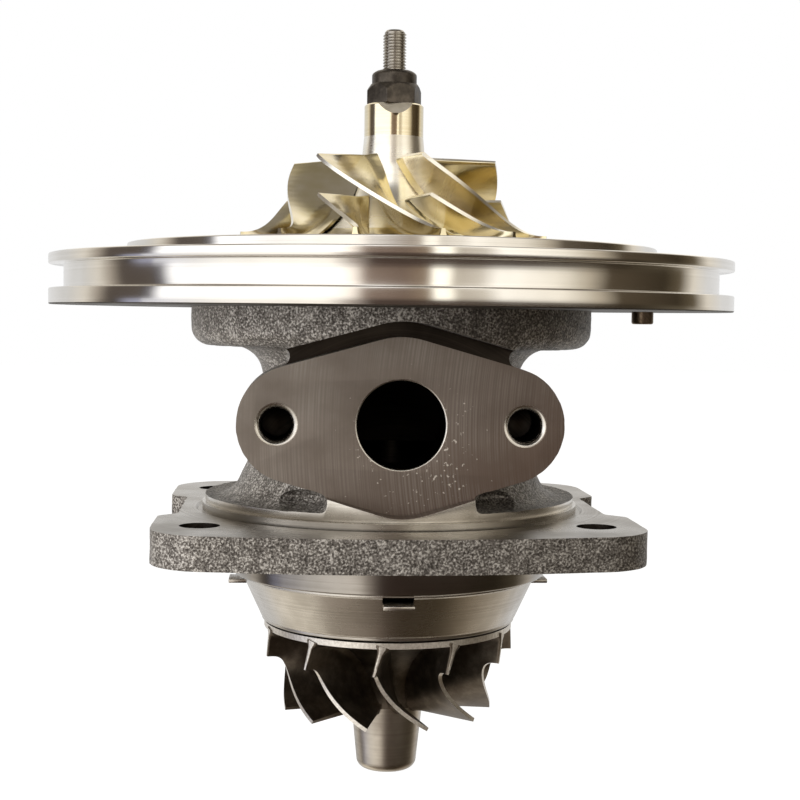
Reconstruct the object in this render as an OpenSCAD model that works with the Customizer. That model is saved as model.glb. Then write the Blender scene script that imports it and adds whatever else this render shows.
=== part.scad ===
// Turbocharger cartridge: the bearing housing with its rotor, ready to bolt between
// a turbine housing below and a compressor housing above.
// Millimetres, +Z up the rotor axis to the compressor, -Y the oil drain side.
// The origin is on the rotor axis, in the seat face under the turbine flange.

/* [Bearing housing] */
// Height of the housing's top face above the turbine flange seat
housing_h = 38.6; // [38:0.1:42]
// Radius of the cast collar under the backplate
collar_r = 33.5; // [32:0.1:36]
// Height of the cast collar
collar_h = 6.4; // [5.5:0.1:8]
// Rounding of the collar's lower edge
collar_edge_r = 2.4; // [1:0.1:3]
// Radius of the waist
neck_r = 21.5; // [20.5:0.1:23]
// Fillet between the waist and the collar
neck_fillet_r = 4.5; // [3:0.1:6]
// Fillet at the foot of the bell
bell_fillet_r = 4; // [3:0.1:5]
// Slope of the bell from the vertical, in degrees
bell_slope = 25; // [20:1:30]

/* [Turbine flange] */
// Thickness of the flange
flange_t = 5.2; // [4:0.1:6]
// Half width of the flange over its lobes
flange_hw = 37.8; // [37:0.1:41]
// Half depth of the flange at its corners
flange_hd = 37.2; // [36:0.1:40]
// How far the front and back edges bow out
flange_bow = 2.8; // [1:0.1:4]
// Corner rounding of the flange
flange_corner_r = 9.5; // [7:0.1:11]
// Depth of the notches in the sides
notch_d = 3; // [1:0.1:4]
// Half length of the notches
notch_hl = 11; // [6:0.5:13]
// Bolt hole spacing along X
flange_bolt_x = 61; // [59:0.1:62]
// Bolt hole spacing along Y
flange_bolt_y = 51.2; // [50:0.1:54]
// Bolt hole radius
flange_hole_r = 3.1; // [2.6:0.05:3.4]
// Radius of the turned ring on the flange
ring_r = 31.5; // [31:0.1:33]
// Height of the turned ring
ring_h = 2; // [1.5:0.1:3]
// Radius of the spigot under the flange
spigot_r = 26.4; // [26:0.1:28]
// Length of the spigot
spigot_h = 5.6; // [5:0.1:7]

/* [Oil drain and inlet] */
// Distance of the drain face from the axis
drain_y = 26.6; // [25:0.1:28]
// Height of the drain bore
drain_z = 20.75; // [20:0.05:21.5]
// Radius of the drain bore
drain_r = 6.75; // [5:0.05:7.25]
// Spacing of the drain flange's tapped holes
drain_bolt_x = 38; // [36:0.1:40]
// Radius of the tapped holes
drain_hole_r = 2.5; // [2.1:0.05:2.75]
// Depth of the tapped holes
drain_hole_d = 10; // [8:0.5:11]
// Thickness of the drain flange
drain_t = 12; // [11.5:0.1:13]
// Rounding of the drain flange's ends
drain_end_r = 9; // [7.5:0.1:10]
// Half width of the drain flange
drain_hw = 25.1; // [24.6:0.1:26.5]
// Half height of the drain flange
drain_hh = 13.4; // [12.6:0.1:14]
// Rounding of the drain flange's top and bottom
drain_crown_r = 12; // [10:0.5:12.5]
// Distance of the oil inlet face from the axis
inlet_y = 27; // [25:0.5:30]
// Height of the oil inlet
inlet_z = 22; // [20:0.5:23]
// Radius of the oil inlet boss
inlet_boss_r = 9; // [7:0.5:9.5]
// Radius of the tapped inlet hole
inlet_r = 4.5; // [3.5:0.1:5]
// Depth of the tapped inlet hole
inlet_d = 10; // [8:0.5:11]

/* [Backplate] */
// Radius of the backplate's rim
plate_r = 56.5; // [55:0.1:60]
// Thickness of the lower land of the rim
land_low = 2.6; // [2:0.1:3.5]
// Width of the empty seal groove in the rim
groove_w = 3.9; // [3:0.1:4.5]
// Depth of the empty seal groove
groove_d = 2.4; // [1.5:0.1:3]
// Thickness of the upper land of the rim
land_up = 1.6; // [1.2:0.1:2.5]
// Radius of the raised diffuser face
diffuser_r = 44; // [38:0.5:50]
// Height of the diffuser face above the rim
diffuser_h = 2; // [1.5:0.1:2.5]
// Radius of the circle of backplate screws
screw_pitch_r = 20.6; // [20:0.1:21]
// Number of backplate screws
screw_count = 4; // [3:1:6]
// Radius of a screw's shank
screw_r = 2; // [1.5:0.1:2.2]
// Radius of a screw's head
screw_head_r = 3.5; // [3:0.1:3.8]
// Height of a screw's head
screw_head_h = 2.4; // [1.8:0.1:2.6]
// Length of a screw's shank
screw_l = 11; // [9:0.5:12]
// Radius of the locating pin
pin_r = 1.85; // [1.5:0.05:2.5]
// Distance of the locating pin from the backplate's rim
pin_inset = 13.5; // [9:0.5:16]
// Length of the locating pin
pin_l = 7; // [5:0.1:8]
// How far the locating pin stands out
pin_out = 2.1; // [1:0.1:3]
// Section radius of the seal ring between housing and backplate
seal_section_r = 0.9; // [0.7:0.05:1]
// Radius of that seal ring's centre line
seal_ring_r = 29; // [28:0.1:30]

/* [Compressor wheel] */
// Radius of the wheel at its exit
comp_r = 26; // [24:0.1:27]
// Height of the blades at the exit
comp_exit_b = 2.2; // [1.5:0.1:3]
// Radius of the blade tips at the inlet
inducer_r = 17.4; // [15:0.1:18.5]
// Length of the wheel from its back face to the blade tips at the inlet
comp_blade_l = 15.2; // [14:0.1:18]
// Radius of the nose
comp_nose_r = 4.95; // [4.6:0.05:5.5]
// Length of the nose above the blade tips
comp_nose_l = 9.6; // [7:0.1:11]
// Number of full blades, with as many splitters between them
comp_blades = 6; // [5:1:7]
// Angle that a blade wraps from inlet to exit, in degrees
comp_wrap = 62; // [50:1:70]
// Direction of the first blade's tip, in degrees from +X
comp_phase = -138.4; // [-180:0.1:180]

/* [Shaft nut] */
// Width across flats of the nut
nut_af = 8.2; // [7.6:0.1:9]
// Height of the nut's hexagon
nut_hex_h = 3.4; // [3:0.1:4.5]
// Radius of the nut's collar
nut_collar_r = 3.75; // [3.2:0.05:3.9]
// Height of the nut's collar
nut_collar_h = 2.3; // [1.5:0.1:3]

/* [Rotor shaft] */
// Radius of the bearing journals
journal_r = 4; // [3.6:0.05:4.3]
// Radius of the stub that carries the compressor wheel
stub_r = 2.5; // [2.2:0.05:2.8]
// Radius of the threaded end
thread_r = 1.95; // [1.7:0.05:2.1]
// How far the threaded end stands above the nut
thread_out = 6.7; // [4:0.1:8]
// Thread pitch
thread_pitch = 0.7; // [0.5:0.05:1]
// Radius of the seal land at the turbine end
turbine_seal_r = 7.4; // [7:0.05:7.8]

/* [Turbine wheel] */
// Radius of the wheel at its inlet
turb_r = 21.2; // [19:0.1:22]
// Radius of the blade tips at the exit
turb_exit_r = 17.6; // [16:0.1:18.5]
// Height of the blades at the inlet
turb_inlet_b = 4.4; // [3:0.1:5]
// Length of the wheel from its back face to the blade tips at the exit
turb_blade_l = 14.9; // [13:0.1:16]
// Radius of the hub at the exit
turb_hub_r = 5.9; // [5:0.1:6.5]
// Length of the nose below the blades
turb_nose_l = 10.8; // [8:0.1:12]
// Number of blades
turb_blades = 11; // [9:1:12]
// Angle that a blade wraps at the exit, in degrees
turb_wrap = 24.5; // [20:0.5:35]
// Lean of the leading edge, in degrees round the axis
turb_lean = 3.5; // [0:0.5:6]
// Direction of the first blade's root at the inlet, in degrees from +X
turb_phase = -96; // [-180:0.1:180]

/* [Heat shield] */
// Radius of the shield's upper rim
shield_r = 25; // [24.5:0.1:26]
// Radius of the shield's lower rim
shield_low_r = 21.4; // [20:0.05:22]
// Depth of the shield
shield_h = 8; // [7.5:0.1:9.5]
// Sheet thickness
shield_t = 0.7; // [0.5:0.05:0.9]
// Width of a spring tab
tab_w = 4.9; // [3:0.1:6]
// How far a tab stands out from the rim
tab_out = 2; // [1:0.1:2.5]
// Number of tabs
tab_count = 4; // [3:1:6]

/* [Bearings] */
// Length of a floating journal bearing
bearing_l = 7.5; // [6.5:0.1:7.8]
// Radius of the bearing bore in the housing
bearing_bore_r = 6.46; // [6.2:0.02:6.8]
// Thickness of the thrust bearing
thrust_t = 3.6; // [3:0.1:4]
// Radius of the thrust bearing
thrust_r = 14.5; // [13.8:0.1:15]
// Thickness of the thrust washer
washer_t = 2; // [1.6:0.1:2.2]
// Thickness of the oil deflector's plate
deflector_t = 1.1; // [0.8:0.1:1.4]
// Radius of the seal land at the compressor end
comp_seal_r = 6.3; // [6:0.05:6.6]

/* [Clearances] */
// Radial oil film inside a floating bearing
film_in = 0.03; // [0.01:0.01:0.05]
// Radial oil film outside a floating bearing
film_out = 0.06; // [0.03:0.01:0.1]
// Radial clearance of a rotor seal land
seal_gap = 0.1; // [0.05:0.01:0.15]
// Axial clearance of each thrust face
thrust_gap = 0.1; // [0.05:0.01:0.15]
// Radial slip fit of the pieces stacked on the shaft
slip = 0.02; // [0.01:0.005:0.04]
// Gap between a wheel and what stands beside it
wheel_gap = 0.4; // [0.3:0.05:0.9]
// Radial clearance of a screw or pin in its hole
hole_gap = 0.05; // [0.02:0.01:0.1]

/* [Hidden] */
$fn = 96;
arc_steps = 6;
over = 1;
edge = 0.4;

// Turbine end, from the flange seat down
spigot_z = -spigot_h;
nose_h = 6.9;
nose_z = spigot_z - nose_h;
nose_r = 14;
relief_r = 22.8;
relief_d = 3.1;
relief_z = spigot_z + relief_d;
shield_z = spigot_z - shield_h;
turb_back_z = shield_z - wheel_gap;
turb_exit_z = turb_back_z - turb_blade_l;
weld_drop = 0.4;
weld_z = nose_z - weld_drop;

// Thrust end, from the housing's top face down
seat_gap = 0.1;
deflector_z = housing_h - deflector_t;
deflector_lap = 1.3;
deflector_r = thrust_r + deflector_lap;
skirt_h = 2.5;
thrust_z = deflector_z - skirt_h - thrust_t;
thrust_collar_r = journal_r + 1;
washer_z = thrust_z - thrust_gap - washer_t;
washer_r = 8.2;
washer_room = 0.4;
pocket_z = washer_z - washer_room;
pocket_r = washer_r + 1.3;
collar_z = washer_z + washer_t;
sleeve_z = collar_z + thrust_t + 2 * thrust_gap;

// Floating bearings between their retaining rings
snap_t = 0.9;
snap_gap = 0.15;
snap_play = 0.04;
snap_split = 3;
snap_groove_d = 0.8;
snap_groove_r = bearing_bore_r + snap_groove_d;
snap_shaft_gap = 1.2;
snap_in_r = journal_r + snap_shaft_gap;
snap_land = 0.9;
bore_land = 1.5;
pocket_land = 1.2;
drip_h = 4;
drip_r = 11.5;
bore_z0 = spigot_z + drip_h;
turb_snap_z = bore_z0 + bore_land;
turb_bearing_z = turb_snap_z + snap_t + snap_gap;
turb_snap_2_z = turb_bearing_z + bearing_l + snap_gap;
cavity_z0 = turb_snap_2_z + snap_t + snap_land;
comp_snap_2_z = pocket_z - pocket_land - snap_t;
comp_bearing_z = comp_snap_2_z - snap_gap - bearing_l;
comp_snap_z = comp_bearing_z - snap_gap - snap_t;
cavity_z1 = comp_snap_z - snap_land;
snap_zs = [turb_snap_z, turb_snap_2_z, comp_snap_z, comp_snap_2_z];

// Backplate and compressor wheel, from the housing's top face up
rim_z = housing_h + land_low + groove_w + land_up;
diffuser_z = rim_z + diffuser_h;
comp_rim_t = 0.8;
comp_exit_drop = 0.1;
comp_exit_z = diffuser_z - comp_exit_drop;
comp_back_z = comp_exit_z - comp_rim_t;
recess_z = comp_back_z - wheel_gap;
recess_r = comp_r + wheel_gap;
comp_boss_sink = 0.6;
comp_boss_z = recess_z - comp_boss_sink;
comp_tip_z = comp_back_z + comp_blade_l;
comp_rake = 0.7;
comp_root_z = comp_tip_z + comp_rake;
comp_top_z = comp_tip_z + comp_nose_l;
nut_top_z = comp_top_z + nut_hex_h + nut_collar_h;
shaft_top_z = nut_top_z + thread_out;
pin_x = plate_r - pin_inset;
screw_phase = 45;
screw_sink = 0.4;
screw_seat_z = recess_z - screw_head_h - screw_sink;
screw_head_gap = 0.2;
screw_tip_room = 0.6;

// Seal rings of the rotor
piston_ring_t = 1.5;
ring_side_gap = 0.1;
ring_root_gap = 0.15;
ring_split = 0.4;
ring_groove_d = 1.1;
turb_groove_in = 2.2;
comp_groove_in = 3;
turb_groove_z = nose_z + turb_groove_in;
comp_groove_z = housing_h + comp_groove_in;
turb_groove_r = turbine_seal_r - ring_groove_d;
comp_groove_r = comp_seal_r - ring_groove_d;

// Points on an arc about a centre, from one angle to another
function arc(c, r, a0, a1, steps = arc_steps) =
    [for (i = [0:steps]) let (a = a0 + (a1 - a0) * i / steps) c + r * [cos(a), sin(a)]];

function lerp(a, b, t) = a + (b - a) * t;

function polar(m, a) = [m[0] * cos(a), m[0] * sin(a), m[1]];

module spin(points) {
    rotate_extrude() polygon(points);
}

module tube(r_out, r_in, z, h) {
    translate([0, 0, z]) difference() {
        cylinder(r = r_out, h = h);
        translate([0, 0, -over]) cylinder(r = r_in, h = h + 2 * over);
    }
}

module ring_of(count, phase = 0) {
    for (i = [0:count - 1]) rotate([0, 0, phase + 360 * i / count]) children();
}

// Cylinder along Y, from the outer end inwards
module drill(x, y, z, r, d, inwards) {
    translate([x, y, z]) rotate([inwards ? -90 : 90, 0, 0]) cylinder(r = r, h = d);
}

// Bearing housing: one iron casting with a turned flange ring, seats and bores
collar_z0 = housing_h - collar_h;
ring_z = flange_t + ring_h;
bell_foot_r = ring_r - 2.3;
bell_end = 180 + bell_slope;
bell_top = [bell_foot_r, ring_z + bell_fillet_r] + bell_fillet_r * [cos(bell_end), sin(bell_end)];
bell_neck_z = bell_top[1] + (bell_top[0] - neck_r) / tan(bell_slope);
turned_step = 0.5;

module housing_casting() {
    spin(concat(
        [[0, nose_z], [nose_r, nose_z], [nose_r, relief_z], [relief_r, relief_z], [relief_r, spigot_z],
         [spigot_r - edge, spigot_z], [spigot_r, spigot_z + edge], [spigot_r, flange_t / 2],
         [ring_r, flange_t / 2], [ring_r, ring_z - ring_h / 2], [ring_r - turned_step, ring_z - ring_h / 2],
         [ring_r - turned_step, ring_z]],
        arc([bell_foot_r, ring_z + bell_fillet_r], bell_fillet_r, 270, bell_end),
        [[neck_r, bell_neck_z]],
        arc([neck_r + neck_fillet_r, collar_z0 - neck_fillet_r], neck_fillet_r, 180, 90),
        arc([collar_r - collar_edge_r, collar_z0 + collar_edge_r], collar_edge_r, 270, 360),
        [[collar_r, housing_h], [0, housing_h]]
    ));
}

bow_r = (pow(flange_hw - flange_corner_r, 2) + pow(flange_bow, 2)) / (2 * flange_bow);

module flange_outline() {
    cx = flange_hw - flange_corner_r;
    cy = flange_hd - flange_corner_r;
    waist = flange_hw - notch_d;
    square([2 * waist, 2 * cy], center = true);
    square([2 * cx, 2 * flange_hd], center = true);
    for (sx = [-1, 1], sy = [-1, 1]) {
        translate([sx * cx, sy * cy]) circle(r = flange_corner_r);
        polygon([[0, sy * notch_hl], [sx * waist, sy * notch_hl],
                 [sx * flange_hw, sy * (notch_hl + notch_d)],
                 [sx * flange_hw, sy * cy], [0, sy * cy]]);
    }
    for (sy = [-1, 1]) intersection() {
        translate([0, sy * (flange_hd + flange_bow - bow_r)]) circle(r = bow_r, $fn = 200);
        translate([-cx, min(0, sy * (flange_hd + flange_bow + over))])
            square([2 * cx, flange_hd + flange_bow + over]);
    }
}

// Rounded rhombus of the drain flange, drawn X by Z about the drain bore, grown by a margin
module drain_outline(margin = 0) {
    re = drain_end_r + margin;
    rc = drain_crown_r + margin;
    end = [drain_hw - drain_end_r, 0];
    crown = [0, drain_hh - drain_crown_r];
    roof = atan2(crown[1], end[0]) + asin((rc - re) / norm(crown - end));
    corner = 90 - roof;
    polygon(concat(
        arc(end, re, -corner, corner, 4 * arc_steps),
        arc(crown, rc, corner, 180 - corner),
        arc(-end, re, 180 - corner, 180 + corner, 4 * arc_steps),
        arc(-crown, rc, 180 + corner, 360 - corner)
    ));
}

module drain_block(margin, y_out, y_in) {
    translate([0, y_in, drain_z]) rotate([90, 0, 0]) linear_extrude(y_in - y_out) drain_outline(margin);
}

foot_web_hw = 11.2;
drain_web_hw = 17;
drain_web_y = drain_y + 1;
pocket_margin = 1.1;
core_r = 15;
core_back = 7.5;
bearing_wall = 4.9;
chamber_hw = 8;
chamber_y0 = 17;
chamber_y1 = bearing_bore_r + bearing_wall;
scavenge_r = 1.6;
scavenge_y = drip_r - 1.4;
scavenge_floor = 1.2;
gallery_y = bearing_bore_r + 4;
gallery_r = 1.25;
gallery_end = 2;
feed_r = 1;
dowel_x = 11.2;
dowel_r = 1.2;
dowel_l = 5.4;
dowel_z = thrust_z - dowel_l / 2;
tap_edge = 0.7;
drain_edge = 0.5;
seal_groove_hw = seal_section_r + 0.3;

module housing_bores() {
    spin([
        [0, nose_z - over], [turbine_seal_r + seal_gap, nose_z - over],
        [turbine_seal_r + seal_gap, spigot_z],
        [drip_r, spigot_z], [drip_r, bore_z0], [bearing_bore_r, bore_z0],
        [bearing_bore_r, pocket_z], [pocket_r, pocket_z], [pocket_r, thrust_z],
        [thrust_r + seat_gap, thrust_z],
        [thrust_r + seat_gap, deflector_z], [deflector_r + seat_gap, deflector_z],
        [deflector_r + seat_gap, housing_h + over], [0, housing_h + over]
    ]);
    for (z = snap_zs) translate([0, 0, z]) cylinder(r = snap_groove_r, h = snap_t + snap_play);
}

module housing_core() {
    intersection() {
        translate([0, 0, cavity_z0]) cylinder(r = core_r, h = cavity_z1 - cavity_z0);
        translate([-core_r - over, -core_r - over, cavity_z0 - over])
            cube([2 * core_r + 2 * over, core_r + over + core_back, cavity_z1 - cavity_z0 + 2 * over]);
    }
    translate([-chamber_hw, -chamber_y0, cavity_z0])
        cube([2 * chamber_hw, chamber_y0 - chamber_y1, thrust_z - cavity_z0 + edge]);
    translate([0, -scavenge_y, spigot_z + scavenge_floor])
        cylinder(r = scavenge_r, h = cavity_z0 - spigot_z);
}

module oil_feed() {
    gallery_z = turb_bearing_z + bearing_l / 2 - gallery_end;
    drill(0, inlet_y + over, inlet_z, inlet_r, inlet_d + over, false);
    drill(0, inlet_y - inlet_d + over, inlet_z, gallery_r, inlet_y - inlet_d + over - gallery_y, false);
    translate([0, gallery_y, gallery_z]) cylinder(r = gallery_r, h = thrust_z + edge - gallery_z);
    for (z = [turb_bearing_z, comp_bearing_z])
        drill(0, gallery_y, z + bearing_l / 2, feed_r, gallery_y - bearing_bore_r + over, false);
}

module bearing_housing() {
    color([0.34, 0.33, 0.31]) difference() {
        union() {
            difference() {
                union() {
                    housing_casting();
                    translate([-drain_web_hw, -drain_web_y, collar_z0 - neck_fillet_r])
                        cube([2 * drain_web_hw, drain_web_y - neck_r / 2, neck_fillet_r + over]);
                }
                drain_block(pocket_margin, -collar_r - over, -drain_y);
            }
            linear_extrude(flange_t) flange_outline();
            drain_block(0, -drain_y, drain_t - drain_y);
            intersection() {
                translate([0, 0, flange_t / 2]) cylinder(r = ring_r - turned_step, h = drain_z);
                translate([-foot_web_hw, -ring_r, flange_t / 2])
                    cube([2 * foot_web_hw, ring_r - neck_r / 2, drain_z - drain_crown_r]);
            }
            drill(0, neck_r / 2, inlet_z, inlet_boss_r, inlet_y - neck_r / 2, true);
        }
        housing_bores();
        housing_core();
        oil_feed();
        drill(0, -drain_y - over, drain_z, drain_r, drain_y + over - chamber_y0 + over, true);
        translate([0, -drain_y, drain_z]) rotate([-90, 0, 0])
            translate([0, 0, -over])
                cylinder(r1 = drain_r + drain_edge + over, r2 = drain_r, h = drain_edge + over);
        for (s = [-1, 1]) {
            drill(s * drain_bolt_x / 2, -drain_y - over, drain_z, drain_hole_r, drain_hole_d + over, true);
            translate([s * drain_bolt_x / 2, -drain_y, drain_z]) rotate([-90, 0, 0]) translate([0, 0, -over])
                cylinder(r1 = drain_hole_r + tap_edge + over, r2 = drain_hole_r, h = tap_edge + over);
            translate([s * dowel_x, 0, dowel_z])
                cylinder(r = dowel_r + hole_gap, h = thrust_z - dowel_z + over);
        }
        for (sx = [-1, 1], sy = [-1, 1])
            translate([sx * flange_bolt_x / 2, sy * flange_bolt_y / 2, -over])
                cylinder(r = flange_hole_r, h = flange_t + 2 * over);
        tube(seal_ring_r + seal_groove_hw, seal_ring_r - seal_groove_hw,
            housing_h - 2 * seal_section_r, 2 * seal_section_r + over);
        ring_of(screw_count, screw_phase)
            translate([screw_pitch_r, 0, screw_seat_z - screw_l - screw_tip_room])
            cylinder(r = screw_r + hole_gap, h = screw_l);
    }
}

// Backplate: a turned disc that closes the housing and carries the diffuser face
module compressor_backplate() {
    root_r = plate_r - groove_d;
    low_z = housing_h + land_low;
    up_z = low_z + groove_w;
    color([0.80, 0.78, 0.74]) difference() {
        spin([
            [comp_seal_r + seal_gap, housing_h], [plate_r - edge, housing_h], [plate_r, housing_h + edge],
            [plate_r, low_z - edge / 2], [plate_r - edge / 2, low_z], [root_r, low_z], [root_r, up_z],
            [plate_r - edge / 2, up_z], [plate_r, up_z + edge / 2], [plate_r, rim_z - edge],
            [plate_r - edge, rim_z],
            [diffuser_r + edge, rim_z], [diffuser_r, rim_z + edge], [diffuser_r, diffuser_z - edge],
            [diffuser_r - edge, diffuser_z], [recess_r, diffuser_z], [recess_r, recess_z],
            [comp_seal_r + seal_gap + edge, recess_z], [comp_seal_r + seal_gap, recess_z - edge]
        ]);
        ring_of(screw_count, screw_phase) translate([screw_pitch_r, 0, 0]) {
            translate([0, 0, housing_h - over]) cylinder(r = screw_r + hole_gap, h = recess_z - housing_h);
            translate([0, 0, screw_seat_z])
                cylinder(r = screw_head_r + screw_head_gap, h = recess_z - screw_seat_z + over);
        }
        translate([pin_x, 0, housing_h - over]) cylinder(r = pin_r + hole_gap, h = pin_l - pin_out + over);
    }
}

module backplate_seal_ring() {
    seat_play = 0.01;
    color([0.09, 0.09, 0.09]) translate([0, 0, housing_h - seal_section_r])
        rotate_extrude() translate([seal_ring_r, 0]) circle(r = seal_section_r - seat_play, $fn = 32);
}

module backplate_screws() {
    socket_af = 3;
    color([0.22, 0.22, 0.23]) ring_of(screw_count, screw_phase)
            translate([screw_pitch_r, 0, screw_seat_z]) difference() {
        union() {
            cylinder(r = screw_head_r, h = screw_head_h);
            translate([0, 0, -screw_l]) cylinder(r = screw_r, h = screw_l + screw_head_h / 2);
        }
        translate([0, 0, screw_head_h / 2])
            cylinder(d = socket_af / cos(30), h = screw_head_h, $fn = 6);
    }
}

module locating_pin() {
    color([0.16, 0.15, 0.14]) translate([pin_x, 0, housing_h - pin_out])
        spin([[0, 0], [pin_r - edge, 0], [pin_r, edge], [pin_r, pin_l], [0, pin_l]]);
}

// Thrust bearing: a bronze plate with a drain slot, pinned to the housing
module thrust_bearing() {
    slot_hw = 4.5;
    pads = 3;
    pad_l = 4;
    pad_w = 1.2;
    pad_d = 0.5;
    color([0.72, 0.55, 0.28]) difference() {
        tube(thrust_r, thrust_collar_r + seal_gap, thrust_z, thrust_t);
        translate([-slot_hw, -thrust_r - over, thrust_z - over])
            cube([2 * slot_hw, thrust_r - pocket_r + over, thrust_t + 2 * over]);
        for (s = [-1, 1]) translate([s * dowel_x, 0, thrust_z - over])
            cylinder(r = dowel_r + hole_gap, h = thrust_t + 2 * over);
        ring_of(pads, 30) translate([journal_r, -pad_w / 2, thrust_z + thrust_t - pad_d])
            cube([pad_l, pad_w, over]);
    }
}

module thrust_bearing_pins() {
    color([0.6, 0.6, 0.6]) for (s = [-1, 1])
        translate([s * dowel_x, 0, dowel_z]) cylinder(r = dowel_r, h = dowel_l);
}

// Oil deflector: a pressed cup that holds the thrust bearing down and keeps oil off the seal
module oil_deflector() {
    gap_hw = 5.5;
    skirt_t = 1.3;
    hole_r = comp_seal_r + 0.7;
    color([0.66, 0.66, 0.64]) difference() {
        union() {
            tube(deflector_r, hole_r, deflector_z, deflector_t);
            tube(thrust_r, thrust_r - skirt_t, deflector_z - skirt_h, skirt_h + deflector_t / 2);
        }
        translate([-gap_hw, -thrust_r - over, deflector_z - skirt_h - over])
            cube([2 * gap_hw, thrust_r / 2, skirt_h + over]);
    }
}

// Split ring, open towards +Y
module split_ring(r_out, r_in, z, t, gap) {
    difference() {
        tube(r_out, r_in, z, t);
        translate([-gap / 2, 0, z - over]) cube([gap, r_out + over, t + 2 * over]);
    }
}

module compressor_piston_ring() {
    color([0.4, 0.4, 0.4]) split_ring(comp_seal_r + seal_gap - slip, comp_groove_r + ring_root_gap,
        comp_groove_z + ring_side_gap, piston_ring_t, ring_split);
}

module turbine_piston_ring() {
    color([0.4, 0.4, 0.4]) split_ring(turbine_seal_r + seal_gap - slip, turb_groove_r + ring_root_gap,
        turb_groove_z + ring_side_gap, piston_ring_t, ring_split);
}

module retaining_ring(i) {
    color([0.5, 0.5, 0.5])
        split_ring(snap_groove_r - hole_gap, snap_in_r, snap_zs[i] + snap_play / 2, snap_t, snap_split);
}

// Heat shield: a pressed steel cup under the spigot, with spring tabs bent out of its rim
module heat_shield() {
    corner = 0.4;
    band_h = 0.6;
    band_step = 0.2;
    lip_r = relief_r + band_step;
    hole_r = turbine_seal_r + 2.8;
    window_h = 1.4;
    window_in = 1.6;
    tab_root = 1.25;
    tab_z = spigot_z - window_h - shield_t;
    color([0.62, 0.58, 0.53]) {
        difference() {
            spin([
                [lip_r, spigot_z], [shield_r, spigot_z], [shield_r, spigot_z - corner],
                [shield_low_r + band_step, shield_z + band_h],
                [shield_low_r, shield_z + band_h - band_step / 2],
                [shield_low_r, shield_z + corner], [shield_low_r - corner, shield_z], [hole_r, shield_z],
                [hole_r, shield_z + shield_t], [shield_low_r - shield_t - corner, shield_z + shield_t],
                [shield_low_r - shield_t, shield_z + shield_t + corner],
                [shield_r - 1.5 * shield_t, spigot_z - shield_t], [lip_r, spigot_z - shield_t]
            ]);
            ring_of(tab_count) translate([shield_r - window_in, -tab_w / 2, tab_z + shield_t])
                cube([window_in + over, tab_w, window_h + over]);
        }
        ring_of(tab_count) translate([shield_r - tab_root, -tab_w / 2, tab_z])
            cube([tab_root + tab_out, tab_w, shield_t]);
    }
}

// Floating journal bearing: a bronze bush with an oil groove and feed holes
module journal_bearing(z) {
    holes = 6;
    hole_r = 0.8;
    groove_hw = 1.2;
    oil_groove_d = 0.4;
    r_out = bearing_bore_r - film_out;
    mid_z = z + bearing_l / 2;
    color([0.76, 0.58, 0.30]) difference() {
        tube(r_out, journal_r + film_in, z, bearing_l);
        tube(r_out + over, r_out - oil_groove_d, mid_z - groove_hw, 2 * groove_hw);
        ring_of(holes, 15) translate([0, 0, mid_z]) rotate([0, 90, 0])
            cylinder(r = hole_r, h = r_out + over);
    }
}

module journal_bearing_turbine() {
    journal_bearing(turb_bearing_z);
}

module journal_bearing_compressor() {
    journal_bearing(comp_bearing_z);
}

// Rotor shaft: seal land at the turbine, two journals, stub and threaded end
module rotor_shaft() {
    relief = 0.4;
    thread_z = comp_top_z - over;
    thread_d = 0.55 * thread_pitch;
    turns = floor((shaft_top_z - thread_z) / thread_pitch) - 1;
    groove_top = turb_groove_z + piston_ring_t + 2 * ring_side_gap;
    shoulder_in = 0.5;
    shoulder_h = 1.5;
    color([0.66, 0.66, 0.65]) spin(concat(
        [[0, weld_z], [turbine_seal_r, weld_z], [turbine_seal_r, turb_groove_z],
         [turb_groove_r, turb_groove_z], [turb_groove_r, groove_top], [turbine_seal_r, groove_top],
         [turbine_seal_r, spigot_z + shoulder_in], [journal_r, spigot_z + shoulder_in + shoulder_h],
         [journal_r, cavity_z0], [journal_r - relief, cavity_z0 + relief],
         [journal_r - relief, cavity_z1 - relief], [journal_r, cavity_z1],
         [journal_r, washer_z], [stub_r, washer_z], [stub_r, thread_z]],
        [for (i = [0:turns - 1]) each [[thread_r - thread_d, thread_z + thread_pitch * i],
                                       [thread_r, thread_z + thread_pitch * (i + 0.5)]]],
        [[thread_r - thread_d, shaft_top_z - thread_pitch], [thread_r, shaft_top_z - edge],
         [thread_r - edge, shaft_top_z], [0, shaft_top_z]]
    ));
}

module thrust_washer() {
    color([0.62, 0.62, 0.62]) tube(washer_r, stub_r + slip, washer_z, washer_t);
}

module thrust_collar() {
    color([0.62, 0.62, 0.62]) tube(thrust_collar_r, stub_r + slip, collar_z, thrust_t + 2 * thrust_gap);
}

// Flinger sleeve: throws oil off its flange and carries the compressor end's piston ring
module flinger_sleeve() {
    flinger_h = 1.5;
    groove_top = comp_groove_z + piston_ring_t + 2 * ring_side_gap;
    color([0.64, 0.64, 0.64]) spin([
        [stub_r + slip, sleeve_z], [washer_r, sleeve_z], [washer_r, sleeve_z + flinger_h],
        [comp_seal_r, sleeve_z + flinger_h], [comp_seal_r, comp_groove_z], [comp_groove_r, comp_groove_z],
        [comp_groove_r, groove_top], [comp_seal_r, groove_top], [comp_seal_r, comp_boss_z],
        [stub_r + slip, comp_boss_z]
    ]);
}

// Blade: a thin solid laid along a camber surface. The camber is a function of the share of
// the way from inlet to exit and of the share of the way from hub to tip
blade_steps = 10;
blade_spans = 3;
blade_sink = 0.5;

function ease(s) = s * s * (3 - 2 * s);

function camber_normal(camber, u, v) =
    let (h = 0.004, u0 = max(0, u - h), u1 = min(1, u + h),
         n = cross(camber(u1, v) - camber(u0, v), camber(u, v + h) - camber(u, v - h)))
    n / norm(n);

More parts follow.
